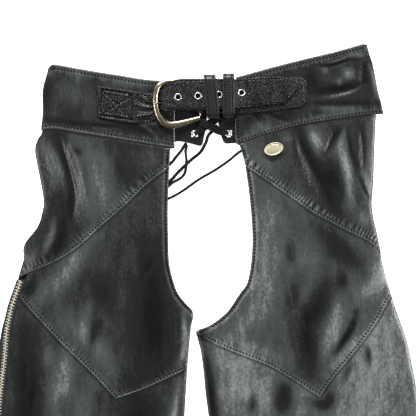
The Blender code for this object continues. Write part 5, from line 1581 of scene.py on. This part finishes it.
def rod_piece(name, points, radii, around=16):
    """A rod along points, each with its radius, closed at both ends."""
    points, radii = np.array(points, float), np.array(radii, float)
    tangent = np.gradient(points, axis=0)
    tangent /= np.linalg.norm(tangent, axis=1)[:, None]
    side = np.cross(tangent, np.array([0.0, 1.0, 0.0]))
    thin = np.linalg.norm(side, axis=1) < 0.2
    side[thin] = np.cross(tangent[thin], np.array([1.0, 0.0, 0.0]))
    side /= np.linalg.norm(side, axis=1)[:, None]
    over = np.cross(side, tangent)

    def surface(s, t):
        row = np.rint(t * (len(points) - 1)).astype(int)
        angle = (2 * math.pi * s)[:, None]
        spread = side[row] * np.cos(angle) + over[row] * np.sin(angle)
        found = points[row] + spread * radii[row][:, None]
        return found[:, 0], found[:, 1], found[:, 2]

    return wrapped(name, around, len(points) - 1, surface)


def bar_and_prong():
    ends = [(BAR_X, 149.9, BAR_Z), (BAR_X, 149.6, BAR_Z), (BAR_X, 110.9, BAR_Z), (BAR_X, 110.6, BAR_Z)]
    show_metal(rod_piece("buckle_bar_metal", ends, [1.2, 1.6, 1.6, 1.2]), "buckle_bar", BUCKLE)
    hook = BAR_RADIUS + GAP + PRONG_RADIUS
    y = PRONG_STATIONS[0][1]
    route = [(BAR_X + hook * math.cos(a), y, BAR_Z + hook * math.sin(a)) for a in np.linspace(-1.7, 1.45, 9)]
    points = even_route(route + PRONG_STATIONS[1:], 0.9)
    share = np.linspace(0, 1, len(points))
    radii = PRONG_RADIUS * (1.02 - 0.25 * ease(share, 0.6, 1.0)) * np.sqrt(np.clip((1 - share) * 60 + 0.2, 0, 1))
    show_metal(rod_piece("buckle_prong_metal", points, radii), "buckle_prong", BUCKLE)


bar_and_prong()

# %% [markdown]
# An eyelet is a brass tube with a rolled rim, set through the leather. Its section is a small closed curve that
# is turned about the hole's middle. On the sloping part of the belt the ring is tilted with the strap.
# %% Eyelets
EYELET_FLANGE = 4.9
RIM_RISE = 0.7


def eyelet(name, x, y, surface, depth, slope):
    """A rolled rim on the leather and a short tube down through it."""
    inner, outer = (EYELET_HOLE, EYELET_FLANGE - 0.4) if "strap" in name else (1.8, 3.3)
    middle = (inner + outer) / 2

    def ring(s, t):
        turn = 2 * math.pi * s
        phase = 2 * math.pi * np.where(t >= 1, 0.0, t)
        reach = middle + (outer - middle) * np.cos(turn)
        rise = surface + GAP + RIM_RISE * np.maximum(np.sin(turn), 0) ** 0.7
        barrel = np.clip((-np.cos(turn) - 0.75) / 0.25, 0, 1) * np.where(np.sin(turn) < -0.01, 1, 0)
        rise = rise - barrel * (depth - 0.4)
        return x + reach * np.cos(phase), y + reach * np.sin(phase), rise + slope * reach * np.cos(phase)

    show_metal(wrapped(f"{name}_ring", 20, 40, ring), name, NICKEL)


def eyelets():
    for k, (x, y, surface, slope) in enumerate(STRAP_EYELETS):
        eyelet(f"strap_eyelet_{k + 1}", x, y, surface, STRAP_LEATHER, slope)
    for side in SIDES:
        x, y = TAB_EYELETS[side]
        eyelet(f"tab_eyelet_{side}", x, y, BACK_YOKE_LEATHER, BACK_YOKE_LEATHER, 0.0)


eyelets()

# %% [markdown]
# The oval plate on the hip is bare. It is a shallow dome inside a raised rim, a profile that is turned and then
# stretched into an oval.
# %% Oval plate
BADGE_THICK = 1.2


def plate_profile(share):
    """Distance from the middle, as a share of the oval, and height, round one section."""
    rows = [
        (0.0, 1.15), (0.3, 1.12), (0.55, 1.04), (0.7, 0.92), (0.78, 0.84), (0.83, 0.92), (0.88, 1.12), (0.94, 1.16),
        (0.985, 0.98), (1.0, 0.6), (0.985, 0.15), (0.95, 0.0), (0.5, 0.0), (0.0, 0.0),
    ]
    return by_station(rows, share)


def plate():
    low = badge_low.z / MM
    tilt = math.radians(BADGE["tilt_deg"])

    def surface(s, t):
        reach, rise = plate_profile(t)
        a = BADGE["half_length"] * reach * np.cos(2 * math.pi * s)
        b = BADGE["half_width"] * reach * np.sin(2 * math.pi * s)
        x = BADGE["x"] + a * math.cos(tilt) - b * math.sin(tilt)
        y = BADGE["y"] + a * math.sin(tilt) + b * math.cos(tilt)
        return x, y, low + rise * BADGE_THICK
    piece = wrapped("badge_plate", 72, 60, surface)
    show_metal(piece, "badge", PLATE)


plate()

# %% [markdown]
# The back is laced with round black cord. Four ends lie free over the gap, and two lengths cross between the
# tabs. Each is a curve with a round section along the same route that the solid has, since a cord
# is made to its real length and not stretched to fit.
# %% Laces
LACES = {
    "lace_a": (3.3, [
        (58, 79, 2.5), (48, 73, 2.3), (37, 67, 1.7), (25, 57, 1.3), (9, 46, 1.3), (-10, 35, 1.3), (-27, 23, 1.3),
        (-37, 16.6, 1.3), (-46, 12, 1.3), (-58, 7, 1.3), (-68, 1, 1.3)]),
    "lace_b": (4.0, [
        (11.5, 99.5, 2.1), (7.0, 94.5, 2.1), (3.0, 90.3, 2.1), (-0.4, 86.0, 2.1), (-1.6, 81.0, 1.8), (-3.2, 77.2, 1.8), (-9.1, 67.2, 1.8), (-19.2, 58.8, 1.8),
        (-27.6, 51.1, 1.8), (-36, 43.0, 1.8), (-46, 32.0, 1.8), (-57, 24.0, 1.8), (-68, 19.0, 1.8)]),
    "lace_c": (3.7, [
        (-26.0, 78.4, 1.8), (-29.6, 73.2, 1.7), (-33, 68, 1.7), (-38, 62, 1.7), (-44, 54.5, 1.7),
        (-54, 47, 1.7), (-66, 43, 1.7)]),
    "lace_d": (3.4, [
        (-25.4, 76.2, 1.6), (-26.2, 72.0, 1.6), (-27.0, 68.0, 1.7), (-26.6, 64.0, 2.4), (-26.0, 59.5, 4.9), (-26.0, 53.0, 5.7), (-26.6, 47.0, 4.6),
        (-28.0, 41.8, 2.6), (-31.6, 37.0, 1.7), (-37.0, 33.4, 1.6), (-42.0, 30.8, 1.6), (-47.0, 26.6, 1.6),
        (-57.0, 18.4, 1.6), (-66.0, 13.0, 1.6)]),
    "lace_cross_1": (3.2, [
        (-16.3, 88.8, 5.1), (-10, 92.0, 5.0), (-3, 97.0, 4.4), (4, 101.5, 4.2), (11, 105.5, 4.2),
        (16, 108.5, 4.2)]),
    "lace_cross_2": (3.2, [
        (25.0, 89.8, 5.1), (18, 92.0, 5.2), (11, 95.0, 6.6), (4, 98.5, 7.7), (-3, 102.0, 6.4), (-9, 106.0, 4.4),
        (-13, 109.5, 4.2)]),
}


def lace(name):
    diameter, route = LACES[name]
    points = even_route(route, diameter * 0.8)
    curve = bpy.data.curves.new(f"{name}_cord", "CURVE")
    curve.dimensions = "3D"
    curve.bevel_depth = diameter / 2 * MM
    curve.bevel_resolution = 4
    curve.use_fill_caps = True
    ahead = np.gradient(points[:, :2], axis=0)
    beside = np.stack((-ahead[:, 1], ahead[:, 0]), axis=1) / np.hypot(ahead[:, 0], ahead[:, 1])[:, None]
    from_end = np.minimum(np.arange(len(points)), np.arange(len(points))[::-1]) * diameter * 0.8
    for shift in (4.4, 1.2, -2.0) if "cross" in name else (0.0,):
        line = points.copy()
        line[:, :2] = line[:, :2] + beside * (shift * np.clip(from_end / 9, 0.25, 1))[:, None]
        spline = curve.splines.new("POLY")
        spline.points.add(len(line) - 1)
        for knot, (x, y, z) in zip(spline.points, line):
            knot.co = (x * MM + PLAN_ORIGIN.x, y * MM + PLAN_ORIGIN.y, z * MM, 1.0)
    piece = bpy.data.objects.new(f"{name}_cord", curve)
    bpy.context.scene.collection.objects.link(piece)
    curve.materials.append(LACE)
    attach(piece, "garment")
    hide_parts(name)


for name in LACES:
    lace(name)

# %% [markdown]
# Down each outer fold runs a zip: black woven tape with two rows of pale metal teeth. On the left leg it lies
# on the front, and on the right leg it goes round the fold and shows on the front only further down. The tape
# is a grid laid along that path.
# %% Zip tapes
CHAIN_HALF = 4.3
TAPE_HALF_THICK = 0.5
BENEATH_Z = 1.4


def strip_place(side, y, round_by):
    """Where a line of the zip runs and which way it faces: x, z, then the facing's x and z."""
    out = PLAN[side]["out"]
    edge = outer_x(side, y)
    flat_x = edge + out * round_by
    if side == "left":
        flat_z = front_low(side, flat_x, y, fine=False) + TAPE_HALF_THICK
        return flat_x, flat_z, np.zeros(y.shape), np.ones(y.shape)
    top = front_low(side, edge - 1.0, y, fine=False) + TAPE_HALF_THICK
    radius = (top - BENEATH_Z) / 2
    fold_x = edge - radius - 1.3
    turn = math.pi * radius / 2
    angle = -math.pi / 2 * np.clip(round_by / turn, -1, 1)
    over_x = fold_x + round_by + turn
    over_z = front_low(side, over_x, y, fine=False) + TAPE_HALF_THICK
    face_x, face_z = np.cos(angle), np.sin(angle)
    x = np.where(round_by < -turn, over_x, np.where(round_by > turn, fold_x - round_by + turn, fold_x + radius * face_x))
    z = np.where(round_by < -turn, over_z, np.where(round_by > turn, BENEATH_Z, (top + BENEATH_Z) / 2 + radius * face_z))
    return x, z, face_x, face_z


def zip_tape(side):
    start = PLAN[side]["zip_top"] - 2.0
    piece, s, t = lay_grid(f"{side}_zip_tape", 12, 300)
    y = start + t * (ZIP_END - start)
    middle = chain_at(side, y)
    reach = np.where(side == "left", np.maximum(ZIP_HALF, -middle - 1.6), ZIP_HALF)
    round_by = middle + (-ZIP_HALF + s * (ZIP_HALF + reach))
    x, z, face_x, face_z = strip_place(side, y, round_by)
    put(piece, place(x + face_x * 0.3, y, z + face_z * 0.3))
    plan_uv(piece, round_by * MM, y * MM)
    pick(piece)
    bpy.ops.object.mode_set(mode="EDIT")
    bpy.ops.mesh.select_all(action="SELECT")
    bpy.ops.mesh.normals_make_consistent(inside=False)
    bpy.ops.object.mode_set(mode="OBJECT")
    give_wall(piece, 0.7, offset=0.0)
    dress(piece, TAPE)
    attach(piece, "garment")
    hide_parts(f"{side}_zip")


for side in SIDES:
    zip_tape(side)

# %% [markdown]
# One tooth is modelled from a cube: its outer end is drawn in for the jaw that grips the tape, and its edges
# are bevelled. All the others are copies of its points, turned to face the way the tape faces, and joined into
# one mesh for each zip so that the scene stays light.
# %% Zip teeth
TOOTH_PITCH = 3.5


def template(name):
    """The points and faces of a finished sample, which is then put away."""
    sample = bpy.context.object
    points = np.array([vert.co[:] for vert in sample.data.vertices])
    faces = [tuple(face.vertices) for face in sample.data.polygons]
    mesh = sample.data
    bpy.data.objects.remove(sample, do_unlink=True)
    bpy.data.meshes.remove(mesh)
    print(f"{name}: {len(points)} points, {len(faces)} faces")
    return points, faces


def tooth_sample():
    """A tooth across the chain: 3.6 mm long, 1.9 mm along the tape and 1.7 mm high."""
    bpy.ops.object.select_all(action="DESELECT")
    bpy.ops.mesh.primitive_cube_add(size=1.0, location=(0, 0, 0))
    sample = bpy.context.object
    sample.scale = (3.6, 1.9, 1.7)
    bpy.ops.object.transform_apply(location=False, rotation=False, scale=True)
    bpy.ops.object.mode_set(mode="EDIT")
    bpy.ops.mesh.select_all(action="DESELECT")
    bpy.ops.object.mode_set(mode="OBJECT")
    for vert in sample.data.vertices:
        vert.select = vert.co.x < 0
    bpy.ops.object.mode_set(mode="EDIT")
    bpy.ops.transform.resize(value=(1.0, 0.72, 0.8))
    bpy.ops.mesh.select_all(action="SELECT")
    bpy.ops.mesh.bevel(offset=0.32, segments=1, affect="EDGES")
    bpy.ops.object.mode_set(mode="OBJECT")
    return template("tooth")


def scatter(name, sample, spots):
    """Copies a sample to many spots: middle, the way its length runs, the way it faces and a size."""
    points, faces = sample
    middles, lengths, facings, sizes = [np.array(column, float) for column in zip(*spots)]
    lengths /= np.linalg.norm(lengths, axis=1)[:, None]
    across = np.cross(facings, lengths)
    across /= np.linalg.norm(across, axis=1)[:, None]
    ups = np.cross(lengths, across)
    grown = points[None, :, :] * sizes[:, None, :]
    moved = (
        middles[:, None, :] + grown[:, :, :1] * lengths[:, None, :] + grown[:, :, 1:2] * across[:, None, :]
        + grown[:, :, 2:] * ups[:, None, :]
    )
    count = len(points)
    all_faces = [tuple(k * count + n for n in face) for k in range(len(spots)) for face in faces]
    mesh = bpy.data.meshes.new(name)
    flat = moved.reshape(-1, 3)
    mesh.from_pydata(place(flat[:, 0], flat[:, 1], flat[:, 2]).tolist(), [], all_faces)
    mesh.update()
    piece = bpy.data.objects.new(name, mesh)
    bpy.context.scene.collection.objects.link(piece)
    return piece


def zip_teeth():
    sample = tooth_sample()
    for side in SIDES:
        start = PLAN[side]["zip_top"] - 4.0
        heights = np.arange(start, ZIP_END + 2, -TOOTH_PITCH / 2)
        row = np.where(np.arange(len(heights)) % 2 == 0, 1.0, -1.0)
        round_by = chain_at(side, heights) + row * 1.2
        x, z, face_x, face_z = strip_place(side, heights, round_by)
        spots = []
        for k, y in enumerate(heights):
            facing = np.array((face_x[k], 0.0, face_z[k]))
            across = np.array((face_z[k], 0.0, -face_x[k])) * -row[k] * (PLAN[side]["out"])
            spots.append(((x[k], y, z[k]) + facing * 1.0, across, facing, (1, 1, 1)))
        piece = scatter(f"{side}_zip_teeth", sample, spots)
        dress(piece, TEETH)
        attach(piece, "garment")
        print(f"{piece.name}: {len(spots)} teeth")


zip_teeth()

# %% [markdown]
# Each zip ends at the ankle in its slider and pull tab. Their solids already have the right form, so a copy of
# each is merged into clean faces and its edges are bevelled, which is what lets cast metal catch the light.
# %% Sliders and pull tabs


def softened(node, name, width, material, body):
    bpy.ops.object.select_all(action="DESELECT")
    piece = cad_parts[node].copy()
    piece.data = piece.data.copy()
    piece.name = name
    piece.parent = None
    for key in list(piece.keys()):
        del piece[key]
    bpy.context.scene.collection.objects.link(piece)
    pick(piece)
    bpy.ops.object.mode_set(mode="EDIT")
    bpy.ops.mesh.select_all(action="SELECT")
    bpy.ops.mesh.remove_doubles(threshold=0.00001)
    bpy.ops.mesh.dissolve_limited(angle_limit=math.radians(2))
    bpy.ops.object.mode_set(mode="OBJECT")
    edge = piece.modifiers.new("edge", "BEVEL")
    edge.width = width * MM
    edge.segments = 2
    edge.limit_method = "ANGLE"
    edge.angle_limit = math.radians(35)
    bpy.ops.object.modifier_apply(modifier="edge")
    bpy.ops.object.shade_smooth_by_angle(angle=math.radians(35))
    show_metal(piece, node, material, body)


for side in SIDES:
    softened(f"{side}_slider", f"{side}_slider_metal", 0.45, BUCKLE, "garment")
    softened(f"{side}_pull", f"{side}_pull_metal", 0.3, BUCKLE, f"{side}_pull_tab")

# %% [markdown]
# Stitches are what makes leather look sewn. A sample stitch is a small drawn-out ball of thread, and a row of
# them is set along a line that keeps its distance from an edge. Each one is sunk a little into the trough that
# the relief already has, follows the slope there, and differs slightly in length and turn from its neighbours.
# %% Stitches
THREAD_RADIUS = 0.95
LEG_PITCH = 4.1
BELT_PITCH = 3.3


def stitch_sample():
    bpy.ops.object.select_all(action="DESELECT")
    bpy.ops.mesh.primitive_uv_sphere_add(segments=6, ring_count=5, radius=1.0, rotation=(0, math.pi / 2, 0))
    bpy.ops.object.transform_apply(location=False, rotation=True, scale=False)
    return template("stitch")


STITCH = stitch_sample()


def even_line(line, pitch, shift=0.0):
    """Points at an even pitch along a line, with the way the line runs at each."""
    line = np.array(line, float)
    lengths = np.append(0, np.cumsum(np.hypot(*np.diff(line, axis=0).T)))
    at = np.arange(pitch * 0.6 + shift, lengths[-1] - pitch * 0.4, pitch)
    x, y = np.interp(at, lengths, line[:, 0]), np.interp(at, lengths, line[:, 1])
    ahead_x = np.interp(at + 0.6, lengths, line[:, 0]) - np.interp(at - 0.6, lengths, line[:, 0])
    ahead_y = np.interp(at + 0.6, lengths, line[:, 1]) - np.interp(at - 0.6, lengths, line[:, 1])
    size = np.maximum(np.hypot(ahead_x, ahead_y), 1e-6)
    return x, y, ahead_x / size, ahead_y / size


def row_beside(line, distance, pitch):
    """A stitch row beside a line: plus is to the left of the way that the line runs."""
    x, y, run_x, run_y = even_line(line, pitch)
    return x - run_y * distance, y + run_x * distance, run_x, run_y


def stitch_row(row, height, pitch, keep=None, slant=-1.2):
    """Spots for the stitches of a row, on a surface given by height(x, y). Each one lies aslant to the row."""
    x, y, run_x, run_y = row
    z = height(x, y)
    ahead = height(x + run_x * 1.2, y + run_y * 1.2) - height(x - run_x * 1.2, y - run_y * 1.2)
    spots = []
    for k in range(len(x)):
        if keep is not None and not keep(x[k], y[k]):
            continue
        turn = slant + 0.12 * math.sin(12.9898 * k + 4.1)
        along = (run_x[k] - run_y[k] * turn, run_y[k] + run_x[k] * turn, float(ahead[k]) / 2.4)
        long = pitch * (0.38 + 0.03 * math.sin(7.7 * k))
        spots.append(((x[k], y[k], z[k] + 0.1), along, (0, 0, 1), (long, THREAD_RADIUS, THREAD_RADIUS)))
    return spots


def sew(name, spots):
    piece = scatter(name, STITCH, spots)
    pick(piece)
    bpy.ops.object.shade_smooth()
    dress(piece, THREAD)
    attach(piece, "garment")
    print(f"{name}: {len(spots)} stitches")


def on_panel(side, part):
    return lambda x, y: panel_top(side, part, np.asarray(x, float), np.asarray(y, float))


def between(side, low_y, high_y, clear=2.2):
    """Keeps a stitch that lies on the leg, clear of its free edges."""
    out = PLAN[side]["out"]

    def keep(x, y):
        inside = (x - float(inner_x(side, y))) * out > clear
        outside = (float(outer_x(side, y)) - float(front_edge(side, y)) * out - x) * out > clear
        return inside and outside and low_y < y < high_y

    return keep


def sew_legs():
    for side in SIDES:
        rising = 1 if side == "left" else -1
        seam_1, seam_2 = seam_line(side, "seam_1"), seam_line(side, "seam_2")
        spots = stitch_row(row_beside(seam_1, STITCH_ROW, LEG_PITCH), on_panel(side, "hip"), LEG_PITCH,
                           between(side, -400, 200))
        point_x = PLAN[side]["point"][0]
        for half in (seam_2[seam_2[:, 0] <= point_x], seam_2[seam_2[:, 0] >= point_x]):
            spots += stitch_row(row_beside(half, STITCH_ROW, LEG_PITCH), on_panel(side, "thigh"), LEG_PITCH,
                                between(side, -400, 200))
        crotch = PLAN[side]["crotch"]
        edge = edge_line(side, "inner", crotch + 4, 70)
        for part, low_y, high_y in (("thigh", crotch + 4, 200), ("hip", -400, 76)):
            row = row_beside(edge, FREE_ROW * rising, LEG_PITCH)
            seam_y = lambda x: float(read(CURVES[side]["seam_1"], x))
            above = part == "hip"
            spots += stitch_row(row, on_panel(side, part), LEG_PITCH,
                                lambda x, y: (y > seam_y(x) + 1.5) == above and low_y < y < high_y
                                and abs(y - seam_y(x)) > 1.5)
        sew(f"{side}_leg_stitches", spots)


def sew_yokes():
    for side in SIDES:
        height = lambda x, y: yoke_top(side, np.asarray(x, float), np.asarray(y, float))
        far = PLAN[side]["out"]

        def keep(x, y):
            from_end = (x - float(yoke_inside(side, y))) * far
            from_fold = (float(yoke_outside(side, y)) - x) * far
            return from_end > 2.6 and from_fold > 1.5

        upper, lower = seam_line(side, "yoke_top"), seam_line(side, "yoke_bottom")
        spots = stitch_row(row_beside(upper, -YOKE_TOP_ROW, LEG_PITCH), height, LEG_PITCH, keep)
        spots += stitch_row(row_beside(lower, YOKE_BOTTOM_ROW[side], LEG_PITCH), height, LEG_PITCH, keep)
        end = upright_line(CURVES[side]["yoke_end"], 74, 112)
        spots += stitch_row(row_beside(end, 3.4 * (1 if side == "left" else -1), LEG_PITCH), height, LEG_PITCH)
        sew(f"{side}_yoke_stitches", spots)


def belt_edge(which, low_x, high_x, inset):
    """A line along the belt strap, inset from its upper (1) or lower (2) edge."""
    x = np.linspace(low_x, high_x, 90)
    table = np.array(BELT_STATIONS, float)
    share = read(dense(list(zip(table[:, 0], np.linspace(0, 1, len(table))))), x)
    y = by_station(BELT_STATIONS, share)[which] + (-inset if which == 1 else inset)
    return np.stack([x, y], axis=1)


def sew_belt():
    height = lambda x, y: belt_top(np.asarray(x, float), np.asarray(y, float))
    spots = []
    for line in box_lines():
        spots += stitch_row(even_line(line, BELT_PITCH), height, BELT_PITCH, slant=0.2)
    for which in (1, 2):
        for low_x, high_x in ((-88, -66), (-50, 98)):
            row = even_line(belt_edge(which, low_x, high_x, BELT_ROW), BELT_PITCH)
            spots += stitch_row(row, height, BELT_PITCH, slant=-0.5)
    upper, lower = belt_edge(1, 90, 106, 3.2), belt_edge(2, 90, 106, 3.2)
    sew("belt_stitches", spots)
    print("strap tip", upper[-1].round(1), lower[-1].round(1))


def sew_keepers():
    for name in KEEPERS:
        spots = []
        width = KEEPERS[name][6]
        for hand in (-1.0, 1.0):
            across = hand * (1 - 2 * KEEPER_ROW / width)
            _, _, _, around = keeper_place(name, np.array([across]), np.array([0.0]))
            share = np.arange(0, around - BELT_PITCH, BELT_PITCH) / around
            x, y, z, _ = keeper_place(name, np.full(share.shape, across), share)
            after = keeper_place(name, np.full(share.shape, across), share + 0.004)
            before = keeper_place(name, np.full(share.shape, across), share - 0.004)
            centre_y, centre_z = float(np.mean(y)), float(np.mean(z))
            for k in range(len(share)):
                along = (after[0][k] - before[0][k], after[1][k] - before[1][k], after[2][k] - before[2][k])
                facing = np.array((0.0, along[2], -along[1]))
                toward = (y[k] - centre_y) * facing[1] + (z[k] - centre_z) * facing[2]
                facing = facing if toward > 0 else -facing
                facing = facing / np.linalg.norm(facing)
                middle = np.array((x[k], y[k], z[k])) + facing * (KEEPER_LEATHER / 2 + 0.25)
                spots.append((middle, along, facing, (BELT_PITCH * 0.34, 0.75, 0.5)))
        sew(f"{name}_stitches", spots)


sew_legs()
sew_yokes()
sew_belt()
sew_keepers()

# %% [markdown]
# The floor is a plain pale sheet, and the light is a white studio: a very large soft panel over the garment and
# two lower ones that rake across the leather, so that its folds catch long soft highlights. None of this is
# part of the garment.
# %% Floor and light


def floor_and_light():
    bpy.ops.mesh.primitive_plane_add(size=12, location=(0, 0, -0.0004))
    floor = bpy.context.object
    floor.name = "floor"
    material, nodes, links, shader = new_material("white_paper")
    coordinates = nodes.new("ShaderNodeTexCoord").outputs["Object"]
    grain = noise(nodes, links, coordinates, 5.0)
    links.new(tone(nodes, links, grain, (0.93, 0.93, 0.93), (0.95, 0.95, 0.95)), shader.inputs["Base Color"])
    shader.inputs["Roughness"].default_value = 0.9
    shader.inputs["Emission Color"].default_value = (1, 1, 1, 1)
    shader.inputs["Emission Strength"].default_value = 1.0
    dress(floor, material)
    for name, x, y, z, size, power in (
        ("upper_panel", -0.3, 2.4, 1.7, 0.8, 118.0),
        ("left_panel", -1.8, 0.2, 1.6, 0.6, 26.0),
        ("right_panel", 1.8, 0.4, 1.6, 0.6, 50.0),
    ):
        bpy.ops.object.light_add(type="AREA", location=(x, y, z))
        lamp = bpy.context.object
        lamp.name = name
        lamp.data.shape = "SQUARE"
        lamp.data.size = size
        lamp.data.energy = power
        aim = Vector((0.0, 0.25, 0.0)) - lamp.location
        lamp.rotation_euler = aim.to_track_quat("-Z", "Y").to_euler()
    world = bpy.data.worlds.new("studio")
    bpy.context.scene.world = world
    world.use_nodes = True
    world.node_tree.nodes["Background"].inputs["Color"].default_value = (1, 1, 1, 1)
    world.node_tree.nodes["Background"].inputs["Strength"].default_value = 0.06
    print("floor and lights are up")


floor_and_light()
